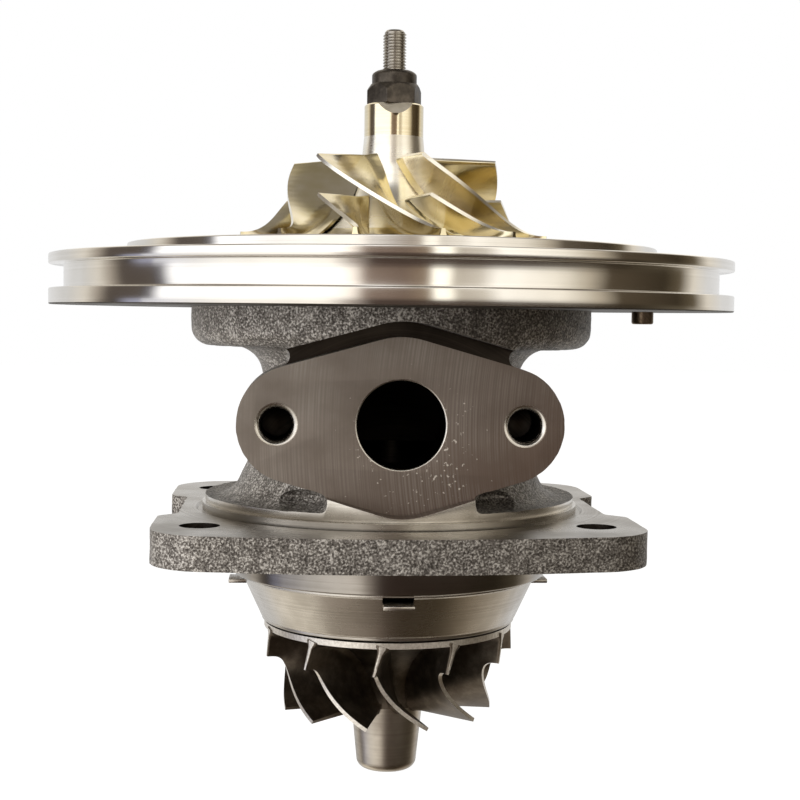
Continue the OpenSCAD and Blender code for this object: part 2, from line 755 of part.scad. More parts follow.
function blade_points(camber, u_first, root_t, tip_t) =
    [for (side = [-1, 1], i = [0:blade_steps], j = [0:blade_spans])
        let (u = lerp(u_first, 1, ease(i / blade_steps)),
             root = -blade_sink / norm(camber(u, 1) - camber(u, 0)),
             v = lerp(root, 1, j / blade_spans),
             half_t = lerp(root_t, tip_t, j / blade_spans) / 2)
        camber(u, v) + side * half_t * camber_normal(camber, u, v)];

function quad(a, b, c, d) = [[a, c, b], [a, d, c]];

module blade(camber, u_first, root_t, tip_t) {
    row = blade_spans + 1;
    sheet = row * (blade_steps + 1);
    last = blade_steps * row;
    faces = concat(
        [for (i = [0:blade_steps - 1], j = [0:blade_spans - 1]) let (a = i * row + j)
            each concat(quad(a, a + 1, a + row + 1, a + row),
                        quad(sheet + a, sheet + a + row, sheet + a + row + 1, sheet + a + 1))],
        [for (i = [0:blade_steps - 1]) let (a = i * row, b = a + blade_spans)
            each concat(quad(a, a + row, sheet + a + row, sheet + a),
                        quad(b, sheet + b, sheet + b + row, b + row))],
        [for (j = [0:blade_spans - 1])
            each concat(quad(j, sheet + j, sheet + j + 1, j + 1),
                        quad(last + j, last + j + 1, sheet + last + j + 1, sheet + last + j))]
    );
    polyhedron(points = blade_points(camber, u_first, root_t, tip_t), faces = faces);
}

// Compressor wheel: milled from one billet, full blades and splitters on a flared hub
comp_curve = 0.85;
comp_turn = 2.1;
splitter_u = 0.31;
hub_steps = 14;

function comp_hub(u) =
    [comp_r - (comp_r - comp_nose_r) * cos(90 * u), comp_root_z - (comp_root_z - comp_exit_z) * sin(90 * u)];

function comp_shroud(u) =
    [comp_r - (comp_r - inducer_r) * pow(cos(90 * u), comp_curve),
     comp_tip_z - (comp_tip_z - comp_exit_z - comp_exit_b) * pow(sin(90 * u), comp_curve)];

comp_camber = function(u, v)
    polar(lerp(comp_hub(u), comp_shroud(u), v), comp_wrap * (1 - pow(1 - u, comp_turn)));

module compressor_wheel() {
    root_t = 0.9;
    tip_t = 0.5;
    splitter_phase = comp_phase + 180 / comp_blades;
    balance_d = 1;
    balance_h = 1.9;
    boss_r = comp_seal_r - 0.3;
    color([0.80, 0.70, 0.42]) difference() {
        union() {
            spin(concat(
                [[0, comp_boss_z], [boss_r, comp_boss_z], [boss_r, comp_back_z], [comp_r, comp_back_z]],
                [for (i = [0:hub_steps]) comp_hub(1 - i / hub_steps)],
                [[comp_nose_r, comp_top_z - edge], [comp_nose_r - edge, comp_top_z], [0, comp_top_z]]
            ));
            ring_of(comp_blades, comp_phase) blade(comp_camber, 0, root_t, tip_t);
            ring_of(comp_blades, splitter_phase) blade(comp_camber, splitter_u, root_t, tip_t);
        }
        translate([0, 0, comp_boss_z - over])
            cylinder(r = stub_r + slip, h = comp_top_z - comp_boss_z + 2 * over);
        translate([0, -comp_nose_r, comp_top_z - balance_h]) rotate([-atan2(balance_d, balance_h), 0, 0])
            translate([-comp_nose_r, -2 * over, 0]) cube([2 * comp_nose_r, 2 * over, 2 * balance_h]);
    }
}

// Shaft nut: a hexagon with a round collar that is locked on the thread
module shaft_nut() {
    corner_r = nut_af / 2 / cos(30);
    turn = -108.4;
    foot_edge = 0.2;
    crown_h = 1.2;
    hex_top_z = comp_top_z + nut_hex_h;
    color([0.13, 0.13, 0.13]) difference() {
        union() {
            intersection() {
                translate([0, 0, comp_top_z]) rotate([0, 0, turn])
                    cylinder(r = corner_r, h = nut_hex_h, $fn = 6);
                spin([[0, comp_top_z], [corner_r - foot_edge, comp_top_z],
                      [corner_r, comp_top_z + foot_edge],
                      [corner_r, hex_top_z - crown_h], [nut_collar_r + foot_edge, hex_top_z],
                      [0, hex_top_z]]);
            }
            spin([[0, comp_top_z + over], [nut_collar_r, comp_top_z + over],
                  [nut_collar_r, nut_top_z - edge], [nut_collar_r - edge, nut_top_z], [0, nut_top_z]]);
        }
        translate([0, 0, comp_top_z - over])
            cylinder(r = thread_r + hole_gap, h = nut_top_z - comp_top_z + 2 * over);
    }
}

// Turbine wheel: cast in heat-proof alloy and welded to the shaft
turb_curve = 0.5;
turb_rim_t = 0.95;
turb_root_z = turb_back_z - turb_rim_t;
turb_rake = 0.5;
turb_hub_z = turb_exit_z + turb_rake;
turb_rim_in = 0.2;
turb_rim_r = turb_r - turb_rim_in;

function turb_hub(u) =
    [turb_r - (turb_r - turb_hub_r) * sin(90 * u), turb_hub_z + (turb_root_z - turb_hub_z) * cos(90 * u)];

function turb_shroud(u) =
    [turb_r - (turb_r - turb_exit_r) * pow(sin(90 * u), turb_curve),
     turb_exit_z + (turb_root_z - turb_inlet_b - turb_exit_z) * pow(max(0, cos(90 * u)), turb_curve)];

turb_camber = function(u, v)
    let (t = 1 - pow(max(0, cos(90 * u)), turb_curve))
    polar(lerp(turb_hub(u), turb_shroud(u), v), turb_wrap * t * t - turb_lean * v * (1 - t));

module turbine_wheel() {
    root_t = 1.5;
    tip_t = 0.8;
    nose_end_r = 5.1;
    nose_round = 1.6;
    nose_end_z = turb_exit_z - turb_nose_l;
    nose_straight = 1.5;
    boss_r = turbine_seal_r - 0.2;
    u_rim = asin(turb_rim_in / (turb_r - turb_hub_r)) / 90;
    color([0.30, 0.27, 0.24]) union() {
        spin(concat(
            [[0, weld_z], [boss_r, weld_z], [boss_r, turb_back_z], [turb_rim_r, turb_back_z]],
            [for (i = [0:hub_steps]) turb_hub(lerp(u_rim, 1, i / hub_steps))],
            [[turb_hub_r, turb_exit_z - nose_straight]],
            arc([nose_end_r - nose_round, nose_end_z + nose_round], nose_round, 0, -90),
            [[0, nose_end_z]]
        ));
        ring_of(turb_blades, turb_phase) blade(turb_camber, 0, root_t, tip_t);
    }
}

bearing_housing();
compressor_backplate();
backplate_seal_ring();
backplate_screws();
locating_pin();
thrust_bearing();
thrust_bearing_pins();
oil_deflector();
compressor_piston_ring();
turbine_piston_ring();
heat_shield();
retaining_ring(0);  // retaining_ring_1
retaining_ring(1);  // retaining_ring_2
retaining_ring(2);  // retaining_ring_3
retaining_ring(3);  // retaining_ring_4
journal_bearing_turbine();
journal_bearing_compressor();
rotor_shaft();
turbine_wheel();
thrust_washer();
thrust_collar();
flinger_sleeve();
compressor_wheel();
shaft_nut();
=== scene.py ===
import math

import bmesh
import bpy
from mathutils import Matrix, Vector, noise


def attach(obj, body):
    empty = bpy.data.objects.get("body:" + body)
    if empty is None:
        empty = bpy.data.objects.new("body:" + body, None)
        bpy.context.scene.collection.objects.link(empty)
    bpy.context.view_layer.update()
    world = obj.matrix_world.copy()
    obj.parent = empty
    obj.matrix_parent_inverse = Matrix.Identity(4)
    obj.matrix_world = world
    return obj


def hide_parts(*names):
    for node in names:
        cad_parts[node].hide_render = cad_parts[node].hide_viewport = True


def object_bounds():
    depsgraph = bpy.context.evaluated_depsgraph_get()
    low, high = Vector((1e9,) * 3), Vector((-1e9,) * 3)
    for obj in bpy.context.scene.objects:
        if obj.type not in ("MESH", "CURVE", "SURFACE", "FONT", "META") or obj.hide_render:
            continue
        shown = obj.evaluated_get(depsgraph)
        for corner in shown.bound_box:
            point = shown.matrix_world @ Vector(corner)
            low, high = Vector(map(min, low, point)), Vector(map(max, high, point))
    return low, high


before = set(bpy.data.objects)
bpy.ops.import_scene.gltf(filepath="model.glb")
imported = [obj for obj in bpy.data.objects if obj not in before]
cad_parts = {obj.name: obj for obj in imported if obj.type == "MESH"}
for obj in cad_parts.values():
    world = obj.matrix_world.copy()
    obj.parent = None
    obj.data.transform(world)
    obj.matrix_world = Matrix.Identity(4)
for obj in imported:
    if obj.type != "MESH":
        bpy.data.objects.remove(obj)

cad_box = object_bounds()
scene = bpy.context.scene
scene.view_settings.view_transform = "Standard"

# Studio: a pale card table and a white sweep behind it, a wide window on the left, a door ajar on the
# right, and a soft box low on the left for the dull iron. The camera stands on the drain side, level
# with the backplate's lower edge.
MM = 0.001
CAMERA_AT = (-16.7, -255.3, 37.0)
CAMERA_DOWN = 3.093
CAMERA_RIGHT = 4.106
CAMERA_ROLL = 0.737
LENS, SENSOR = 68.03, 36
ROOM_LEVEL, DULL_SHARE, SWEEP_MIRRORED, CEILING = 1.7, 0.4, 0.8, "#6c6863"
LAMP_AT, LAMP_TO, LAMP_SIZE, LAMP_WATTS = (-0.21, -0.13, 0.03), (0, 0, 0.02), 0.14, 0.6
TABLE_SIZE, TABLE_GAP, TABLE_WASH, TABLE_GLOW = 4.0, 0.0001, 0.72, 1.36

camera = bpy.data.objects.new("camera", bpy.data.cameras.new("camera"))
camera.data.lens = LENS
camera.data.sensor_width = SENSOR
camera.data.clip_start = 0.01
camera.matrix_world = (
    Matrix.Translation(Vector(CAMERA_AT) * MM)
    @ Matrix.Rotation(math.radians(-CAMERA_RIGHT), 4, "Z")
    @ Matrix.Rotation(math.radians(90 - CAMERA_DOWN), 4, "X")
    @ Matrix.Rotation(math.radians(CAMERA_ROLL), 4, "Z")
)
scene.collection.objects.link(camera)
scene.camera = camera


def paint(hexa):
    """Turn an sRGB hex colour into the linear colour that a shader socket takes."""
    parts = [int(hexa[i:i + 2], 16) / 255 for i in (1, 3, 5)]
    return [c / 12.92 if c <= 0.04045 else ((c + 0.055) / 1.055) ** 2.4 for c in parts] + [1]


def fill(node, values):
    """Fill a shader node's sockets: another node's socket is linked, any other value is set."""
    for name, value in values.items():
        if isinstance(value, bpy.types.NodeSocket):
            node.id_data.links.new(value, node.inputs[name])
        else:
            node.inputs[name].default_value = value


def add(tree, kind, values=None, stops=None, **settings):
    """Add one shader node with its settings, links and ramp."""
    node = tree.nodes.new("ShaderNode" + kind)
    for name, value in settings.items():
        setattr(node, name, value)
    fill(node, values or {})
    if stops:
        ramp = node.color_ramp.elements
        ramp.remove(ramp[1])
        ramp[0].position, ramp[0].color = stops[0]
        for place, colour in stops[1:]:
            ramp.new(place).color = colour
    return node


def round_room(*colours):
    """Stops of a ramp round the room, from colours at degrees to the right of the camera."""
    return [((degrees + 90) % 360 / 360, paint(colour)) for degrees, colour in colours]


def per_mm(size):
    """Texture scale, in cycles a metre, of a pattern of that size in millimetres."""
    return 1 / (size * MM)


scene.world = bpy.data.worlds.new("studio")
scene.world.use_nodes = True
tree = scene.world.node_tree
tree.nodes.clear()
rays = add(tree, "LightPath")
outwards = add(tree, "TexCoord").outputs["Generated"]
way_round = add(tree, "TexGradient", {"Vector": outwards}, gradient_type="RADIAL").outputs["Fac"]
# What metal mirrors all round: the walls at the rim's height, the skirting, the floor beneath and the
# upper walls, blended by height, and the ceiling.
walls = add(tree, "ValToRGB", {"Fac": way_round}, stops=round_room(
    (-90, "#45403e"), (-86, "#5b595e"), (-81, "#fafbff"), (-20, "#fffdf9"), (-16, "#efe6dd"),
    (-12, "#75665c"), (0, "#64554b"), (8, "#766655"), (10, "#fffbef"), (14, "#fdf8ea"), (17, "#a39b8f"),
    (25, "#b2aba0"), (31, "#e9e5dd"), (52, "#d8d2c6"), (64, "#a59c8c"), (73, "#42392d"),
    (100, "#2e271d"), (110, "#4d4435"), (120, "#bdb7ac"), (180, "#c0bcb4"), (-120, "#bfbab1"),
    (-112, "#8e867c"), (-106, "#4a433e")))
heights = add(tree, "SeparateXYZ", {"Vector": outwards})
skirting = add(tree, "ValToRGB", {"Fac": way_round}, stops=round_room(
    (-103, "#3c3836"), (-96, "#8e90a2"), (-84, "#c1c2ca"), (-60, "#dcdad6"), (-24, "#e6e1d9"),
    (-17, "#9a918a"), (-10, "#3b302b"), (12, "#3a302a"), (80, "#2c261d"), (104, "#4d4639"),
    (125, "#b3aca1"), (180, "#c4c0ba"), (-122, "#c4bfb6"), (-110, "#5a534c")))
beneath = add(tree, "ValToRGB", {"Fac": way_round}, stops=round_room(
    (-90, "#857c72"), (-40, "#7a7167"), (-12, "#4f443c"), (5, "#32291f"), (70, "#30281c"),
    (92, "#6f6352"), (120, "#aaa295"), (180, "#c4c0ba"), (-120, "#d2ccc0")))
upper = add(tree, "ValToRGB", {"Fac": way_round}, stops=round_room(
    (-90, "#8a847c"), (-60, "#908a82"), (-40, "#e0dcd6"), (-10, "#faf9f7"), (4, "#aea89f"),
    (24, "#eeeae2"), (46, "#d1cbc0"), (70, "#89837a"), (110, "#8d877d"), (140, "#ebe7df"),
    (170, "#c5bfb5"), (-146, "#d8d3ca"), (-112, "#8b857c")))
high, low, deep, overhead = [
    add(tree, "MapRange", {"Value": heights.outputs["Z"], "From Min": start, "From Max": end},
        interpolation_type="SMOOTHSTEP").outputs["Result"]
    for start, end in ((0.24, 0.38), (-0.04, -0.12), (-0.45, -0.7), (0.7, 0.88))]
room = walls.outputs["Color"]
for share, colour in ((high, upper.outputs["Color"]), (low, skirting.outputs["Color"]),
                      (deep, beneath.outputs["Color"]), (overhead, paint(CEILING))):
    room = add(tree, "Mix", {0: share, 6: room, 7: colour}, data_type="RGBA").outputs[2]
# The camera sees the sweep as white. Metal that looks past the object mirrors it, a little dimmer.
seen = add(tree, "Math", {0: rays.outputs["Is Camera Ray"], 1: rays.outputs["Is Transmission Ray"]},
           operation="MAXIMUM")
behind = add(tree, "MapRange", {"Value": heights.outputs["Y"], "From Min": 0.5, "From Max": 0.7})
level_ahead = add(tree, "Math", {0: behind.outputs["Result"], 1: high},
                  operation="SUBTRACT", use_clamp=True)
mirrored = add(tree, "Math", {0: rays.outputs["Is Glossy Ray"], 1: level_ahead.outputs[0]},
               operation="MULTIPLY")
shown = add(tree, "Math", {0: seen.outputs[0], 1: mirrored.outputs[0]}, operation="MAXIMUM")
whiteness = add(tree, "MapRange", {"Value": rays.outputs["Is Glossy Ray"], "To Min": 1.0,
                                   "To Max": SWEEP_MIRRORED})
# Dull surfaces take a smaller share of the room, so that the soft box shapes them.
level = add(tree, "MapRange", {"Value": rays.outputs["Is Diffuse Ray"], "To Min": ROOM_LEVEL,
                               "To Max": ROOM_LEVEL * DULL_SHARE})
lit = add(tree, "Background", {"Color": room, "Strength": level.outputs["Result"]})
sweep = add(tree, "Background", {"Color": (1, 1, 1, 1), "Strength": whiteness.outputs["Result"]})
studio = add(tree, "MixShader", {0: shown.outputs[0], 1: lit.outputs[0], 2: sweep.outputs[0]})
add(tree, "OutputWorld", {"Surface": studio.outputs[0]})

lamp = bpy.data.objects.new("soft_box", bpy.data.lights.new("soft_box", "AREA"))
lamp.data.size = LAMP_SIZE
lamp.data.energy = LAMP_WATTS
lamp.visible_glossy = False
lamp.location = LAMP_AT
lamp.rotation_euler = (Vector(LAMP_TO) - Vector(LAMP_AT)).to_track_quat("-Z", "Y").to_euler()
scene.collection.objects.link(lamp)


def moved(shape, way):
    """Shift a shape."""
    bmesh.ops.translate(shape, verts=shape.verts[:], vec=way)
    return shape


top = bmesh.new()
bmesh.ops.create_grid(top, x_segments=1, y_segments=1, size=TABLE_SIZE / 2)
moved(top, (0, 0, cad_box[0][2] - TABLE_GAP))
table = bpy.data.objects.new("table", bpy.data.meshes.new("table"))
top.to_mesh(table.data)
top.free()
scene.collection.objects.link(table)
# Pale card: matt, with a faint mottle of fibres, drawn coarser than real to show. The camera sees it
# washed to white with the shadow kept, and metal looks through it to the room.
card = bpy.data.materials.new("pale_card")
card.use_nodes = True
tree = card.node_tree
tree.nodes.clear()
rays = add(tree, "LightPath")
fibres = add(tree, "TexNoise", {"Vector": add(tree, "TexCoord").outputs["Object"], "Scale": per_mm(2.5)})
mottle = add(tree, "ValToRGB", {"Fac": fibres.outputs["Fac"]},
             stops=[(0.3, paint("#8f8880")), (0.7, paint("#978f87"))])
seen = add(tree, "Math", {0: rays.outputs["Is Camera Ray"], 1: rays.outputs["Is Transmission Ray"]},
           operation="MAXIMUM")
surface = add(tree, "Mix", {0: seen.outputs[0], 6: mottle.outputs["Color"], 7: paint("#f2f2f2")},
              data_type="RGBA")
matt = add(tree, "BsdfDiffuse", {"Color": surface.outputs[2]})
glow = add(tree, "Emission", {"Color": (1, 1, 1, 1), "Strength": TABLE_GLOW})
wash = add(tree, "Math", {0: seen.outputs[0], 1: TABLE_WASH}, operation="MULTIPLY")
paper = add(tree, "MixShader", {0: wash.outputs[0], 1: matt.outputs[0], 2: glow.outputs[0]})
clear = add(tree, "BsdfTransparent")
past = add(tree, "MixShader", {0: rays.outputs["Is Glossy Ray"], 1: paper.outputs[0], 2: clear.outputs[0]})
add(tree, "OutputMaterial", {"Surface": past.outputs[0]})
table.data.materials.append(card)

# Bearing housing: one sand casting in grey iron, with a bell, a collar, the oil drain's flange and
# the inlet boss. The flange, its ring, the drain face and the bores are then turned, milled, drilled.
COLLAR_R, COLLAR_Z, TOP_Z = 33.5, 32.2, 38.6
NECK_R, NECK_FILLET, COLLAR_EDGE = 21.5, 5.2, 3.0
FLANGE_T, RING_R, RING_Z, RING_STEP = 5.2, 31.5, 7.2, 0.5
FOOT_R, FOOT_FILLET, BELL_SLOPE = 29.2, 4.0, 25
FLANGE_HW, FLANGE_HD, FLANGE_BOW, FLANGE_CORNER = 37.8, 37.2, 2.8, 9.5
NOTCH_DEPTH, NOTCH_HALF = 3.0, 11.0
FLANGE_HOLES, FLANGE_HOLE_R = (30.5, 25.6), 3.1
DRAIN_Y, DRAIN_Z, DRAIN_R, DRAIN_DEPTH = -26.6, 20.75, 6.75, 12.0
DRAIN_HW, DRAIN_HH, DRAIN_END, DRAIN_CROWN = 25.1, 13.4, 9.0, 12.0
TAP_X, TAP_R, TAP_DEPTH, TAP_EDGE = 19.0, 2.5, 10.0, 0.8
TAP_RIDGES, TAP_RIDGE_H, TAP_RIDGE_L, TAP_POINT = 18, 0.25, 0.5, 1.2
WEB_HW, WEB_Y, FOOT_WEB_HW = 17.0, -27.6, 11.2
RELIEF_W, RELIEF_Y, RELIEF_OUT_Z, RELIEF_IN_Z, FACE_MARGIN = 2.4, -21.5, 2.0, 0.5, 0.4
INLET_Y, INLET_Z, INLET_BOSS_R, INLET_R, INLET_DEPTH, INLET_EDGE = 27.0, 22.0, 9.0, 4.5, 10.0, 0.6
ALLOWANCE, UNDERCUT, OVERRUN, TOUCH = 1.0, 0.35, 1, 1e-4
VOXEL, SMOOTHINGS, LUMPS = 0.5, 3, ((0.045, 0.9), (0.06, 2.6))
CAST, MILLED, TURNED, BORE_SHADE, GROUND, CORED, RIMMED = range(7)


def face_of(points, at=lambda a, b: (a, b, 0)):
    """One flat face from a few outline points."""
    sheet = bmesh.new()
    sheet.faces.new([sheet.verts.new(at(*p)) for p in points])
    return sheet


def drawn_out(sheet, way):
    """Extrude a flat face into a closed block."""
    grown = bmesh.ops.extrude_face_region(sheet, geom=sheet.faces[:])["geom"]
    bmesh.ops.translate(sheet, verts=[g for g in grown if isinstance(g, bmesh.types.BMVert)], vec=way)
    bmesh.ops.recalc_face_normals(sheet, faces=sheet.faces[:])
    return sheet


def turned(profile, steps=160, fillet=0.0, fillet_steps=3):
    """Spin a closed profile of (radius, height) points round the shaft's axis, corners rounded."""
    shape = face_of(profile, lambda r, z: (r, 0, z))
    if fillet:
        bmesh.ops.bevel(shape, geom=[v for v in shape.verts if v.co.x > TOUCH], offset=fillet,
                        segments=fillet_steps, affect="VERTICES", profile=0.5, material=-1,
                        clamp_overlap=True)
    bmesh.ops.delete(shape, geom=shape.faces[:], context="FACES_ONLY")
    on_axis = [e for e in shape.edges if max(v.co.x for v in e.verts) < TOUCH]
    for edge in on_axis:
        shape.edges.remove(edge)
    bmesh.ops.spin(shape, geom=shape.verts[:] + shape.edges[:], cent=(0, 0, 0), axis=(0, 0, 1),
                   angle=2 * math.pi, steps=steps, use_merge=True)
    bmesh.ops.remove_doubles(shape, verts=shape.verts[:], dist=TOUCH)
    bmesh.ops.recalc_face_normals(shape, faces=shape.faces[:])
    return shape


def spun(shape, degrees, axis="Z"):
    """Turn a shape about an axis through the origin."""
    bmesh.ops.rotate(shape, verts=shape.verts[:], cent=(0, 0, 0),
                     matrix=Matrix.Rotation(math.radians(degrees), 3, axis))
    return shape


def along_y(shape, x, y, z):
    """Lay a shape turned about the shaft's axis along -Y, with its zero at a place."""
    return moved(spun(shape, 90, "X"), (x, y, z))


def arc(x, y, r, start, end, steps):
    """Points on an arc, by angles in degrees."""
    turn = [math.radians(start + (end - start) * i / steps) for i in range(steps + 1)]
    return [(x + r * math.cos(a), y + r * math.sin(a)) for a in turn]


def joined(*shapes):
    """Put several shapes into one mesh."""
    whole = bmesh.new()
    for shape in shapes:
        part = bpy.data.meshes.new("part")
        shape.to_mesh(part)
        shape.free()
        whole.from_mesh(part)
        bpy.data.meshes.remove(part)
    return whole


def worked(shape, kind, finishes, tool=None, **settings):
    """Run one modifier on a shape, with a tool where it is a boolean."""
    held = []
    for work in [shape] + ([tool] if tool else []):
        blank = bpy.data.objects.new("blank", bpy.data.meshes.new("blank"))
        work.to_mesh(blank.data)
        work.free()
        for finish in finishes:
            blank.data.materials.append(finish)
        scene.collection.objects.link(blank)
        held.append(blank)
    step = held[0].modifiers.new("step", kind)
    for name, value in settings.items():
        setattr(step, name, value)
    if tool:
        step.object = held[1]
        step.solver = "MANIFOLD"
    made = bpy.data.meshes.new_from_object(held[0].evaluated_get(bpy.context.evaluated_depsgraph_get()))
    result = bmesh.new()
    result.from_mesh(made)
    for mesh in [made] + [blank.data for blank in held]:
        bpy.data.meshes.remove(mesh)
    return result


def cut(shape, tool, number, finishes, operation="DIFFERENCE"):
    """Cut a tool out of a shape, or weld it on. The faces it leaves get the finish of that number."""
    for face in tool.faces:
        face.material_index = number
    return worked(shape, "BOOLEAN", finishes, tool, operation=operation)


def settled(name, shape, finishes, sharp=32):
    """Make a finished object, in metres, of a shape drawn in millimetres."""
    bmesh.ops.scale(shape, verts=shape.verts[:], vec=(MM, MM, MM))
    made = bpy.data.objects.new(name, bpy.data.meshes.new(name))
    shape.to_mesh(made.data)
    shape.free()
    for finish in finishes:
        made.data.materials.append(finish)
    made.data.shade_smooth()
    made.data.set_sharp_from_angle(angle=math.radians(sharp))
    scene.collection.objects.link(made)
    return made


def metal(name):
    """A new material with its principled shader, its node tree and its Object coordinates."""
    finish = bpy.data.materials.new(name)
    finish.use_nodes = True
    tree = finish.node_tree
    shader = tree.nodes["Principled BSDF"]
    shader.inputs["Metallic"].default_value = 1.0
    return finish, tree, shader, add(tree, "TexCoord").outputs["Object"]


# Sand-cast grey iron, shot-blasted: a dull grey that breaks into bright and dark grains.
sand_cast, tree, shader, place = metal("sand_cast_iron")
grains = add(tree, "TexNoise", {"Vector": place, "Scale": per_mm(0.34), "Detail": 1.5, "Roughness": 0.6})
lumps = add(tree, "TexNoise", {"Vector": place, "Scale": per_mm(2.2), "Detail": 2.0})
stains = add(tree, "TexNoise", {"Vector": place, "Scale": per_mm(14.0), "Detail": 2.0})
peppered = add(tree, "Math", {0: lumps.outputs["Fac"], 1: 0.28, 2: grains.outputs["Fac"]},
               operation="MULTIPLY_ADD")
speck = add(tree, "ValToRGB", {"Fac": peppered.outputs[0]}, stops=[
    (0.46, paint("#34302d")), (0.58, paint("#645f5a")), (0.68, paint("#8a857f")), (0.82, paint("#d6d1ca"))])
warm = add(tree, "Mix", {0: stains.outputs["Fac"], 6: speck.outputs["Color"], 7: paint("#6b645c")},
           data_type="RGBA")
patched = add(tree, "Mix", {0: 0.3, 6: speck.outputs["Color"], 7: warm.outputs[2]}, data_type="RGBA")
bump = add(tree, "Bump", {"Height": peppered.outputs[0], "Strength": 0.7, "Distance": 0.25 * MM})
fill(shader, {"Base Color": patched.outputs[2], "Normal": bump.outputs["Normal"], "Roughness": 0.5,
              "Metallic": 0.45})

# Milled iron: warm grey, drawn browner and darker towards the lower right as painted shade, with the
# cutter's wide arcs left in patches as fine near-upright lines, and a few bright nicks.
CUTTER_AT, WORN_AT = (-85 * MM, 0, -20.5 * MM), (-2 * MM, 0, -17.5 * MM)
SHADE_RUN, WORN_FROM, WORN_TO = 36 * MM, 8 * MM, 15 * MM
milled, tree, shader, place = metal("milled_iron")
cutter = add(tree, "Mapping", {"Vector": place, "Location": CUTTER_AT, "Scale": (1, 0, 1)})
reach = add(tree, "VectorMath", {0: cutter.outputs["Vector"]}, operation="LENGTH")
arcs = add(tree, "TexNoise", {"W": reach.outputs["Value"], "Scale": per_mm(0.3), "Detail": 0.0},
           noise_dimensions="1D")
smears = add(tree, "TexNoise", {"Vector": place, "Scale": per_mm(11.0), "Detail": 4.0, "Roughness": 0.6})
flecks = add(tree, "TexNoise", {"Vector": place, "Scale": per_mm(0.6), "Detail": 2.0})
# Painted shade: the face is drawn browner and darker towards its lower right.
shade_way = add(tree, "VectorMath", {0: place, 1: (0.6, 0, -0.8)}, operation="DOT_PRODUCT")
painted_shade_ramp = add(tree, "MapRange", {"Value": shade_way.outputs["Value"], "From Min": -SHADE_RUN, "From Max": 0.0})
tone = add(tree, "ValToRGB", {"Fac": smears.outputs["Fac"]}, stops=[
    (0.3, paint("#8d847b")), (0.7, paint("#aaa299"))])
shade_toned = add(tree, "Mix", {0: painted_shade_ramp.outputs["Result"], 6: tone.outputs["Color"], 7: paint("#6a5a50")},
              data_type="RGBA")
patch = add(tree, "MapRange", {"Value": smears.outputs["Fac"], "From Min": 0.42, "From Max": 0.62,
                               "To Min": 0.02, "To Max": 0.13})
line = add(tree, "ValToRGB", {"Fac": arcs.outputs["Fac"]}, stops=[
    (0.4, paint("#4d453e")), (0.6, paint("#c9c1b8"))])
lined = add(tree, "Mix", {0: patch.outputs["Result"], 6: shade_toned.outputs[2], 7: line.outputs["Color"]},
            data_type="RGBA")
from_bore = add(tree, "Mapping", {"Vector": place, "Location": WORN_AT, "Scale": (1, 0, 1)})
clear_of = add(tree, "VectorMath", {0: from_bore.outputs["Vector"]}, operation="LENGTH")
handled = add(tree, "MapRange", {"Value": clear_of.outputs["Value"], "From Min": WORN_FROM,
                                 "From Max": WORN_TO, "To Min": 0.0, "To Max": -0.14})
rough_handled = add(tree, "Math", {0: flecks.outputs["Fac"], 1: handled.outputs["Result"]}, operation="ADD")
nick = add(tree, "MapRange", {"Value": rough_handled.outputs[0], "From Min": 0.66, "From Max": 0.72})
nicked = add(tree, "Mix", {0: nick.outputs["Result"], 6: lined.outputs[2], 7: paint("#d9d2c8")},
             data_type="RGBA")
bump = add(tree, "Bump", {"Height": arcs.outputs["Fac"], "Strength": 0.1, "Distance": 0.06 * MM})
dull = add(tree, "MapRange", {"Value": smears.outputs["Fac"], "To Min": 0.38, "To Max": 0.5})
fill(shader, {"Base Color": nicked.outputs[2], "Normal": bump.outputs["Normal"],
              "Roughness": dull.outputs["Result"], "Metallic": 0.6})


def lathe_metal(name, light, dark, shine, line_mm, bump_mm, wear_mm=9.0):
    """Turned metal: rings round the shaft's axis that catch the light, and faint smears.

    Real turning lines are about 0.1 mm apart. These are drawn coarser, so that they show.
    """
    finish, tree, shader, place = metal(name)
    parts = add(tree, "SeparateXYZ", {"Vector": place})
    flat = add(tree, "CombineXYZ", {"X": parts.outputs["X"], "Y": parts.outputs["Y"]})
    reach = add(tree, "VectorMath", {0: flat.outputs[0]}, operation="LENGTH")
    run = add(tree, "Math", {0: reach.outputs["Value"], 1: parts.outputs["Z"]}, operation="ADD")
    rings = add(tree, "TexNoise", {"W": run.outputs[0], "Scale": per_mm(line_mm), "Detail": 3.0},
                noise_dimensions="1D")
    smears = add(tree, "TexNoise", {"Vector": place, "Scale": per_mm(wear_mm), "Detail": 3.0})
    mixed = add(tree, "Math", {0: rings.outputs["Fac"], 1: 0.4, 2: smears.outputs["Fac"]},
                operation="MULTIPLY_ADD")
    tone = add(tree, "ValToRGB", {"Fac": mixed.outputs[0]}, stops=[(0.5, paint(dark)), (0.9, paint(light))])
    matt = add(tree, "MapRange", {"Value": mixed.outputs[0], "From Min": 0.5, "From Max": 0.9,
                                  "To Min": shine * 1.2, "To Max": shine * 0.85})
    bump = add(tree, "Bump", {"Height": rings.outputs["Fac"], "Strength": 0.1, "Distance": bump_mm * MM})
    fill(shader, {"Base Color": tone.outputs["Color"], "Roughness": matt.outputs["Result"],
                  "Normal": bump.outputs["Normal"]})
    return finish


# Cut iron: light grey where turned, shinier on the ground spigot; dark brown in drilled holes and near
# black in the core, painted shade; lighter on the ring and hole edges, a painted highlight.
turned_iron = lathe_metal("turned_iron", "#b5b0a8", "#969087", 0.28, 0.45, 0.03)
bore_painted_shade = lathe_metal("bore_painted_shade", "#4a443e", "#2f2a26", 0.4, 0.6, 0.03)
core_painted_shade = lathe_metal("core_black_painted_shade", "#0f0d0b", "#070605", 0.6, 0.8, 0.03)
ground_seat = lathe_metal("ground_iron", "#a7a29c", "#8b857e", 0.18, 0.5, 0.02)
rim_highlight = lathe_metal("cut_iron_painted_highlight", "#dedad3", "#c2bdb5", 0.25, 0.5, 0.03)
iron_finishes = [sand_cast, milled, turned_iron, bore_painted_shade, ground_seat, core_painted_shade, rim_highlight]

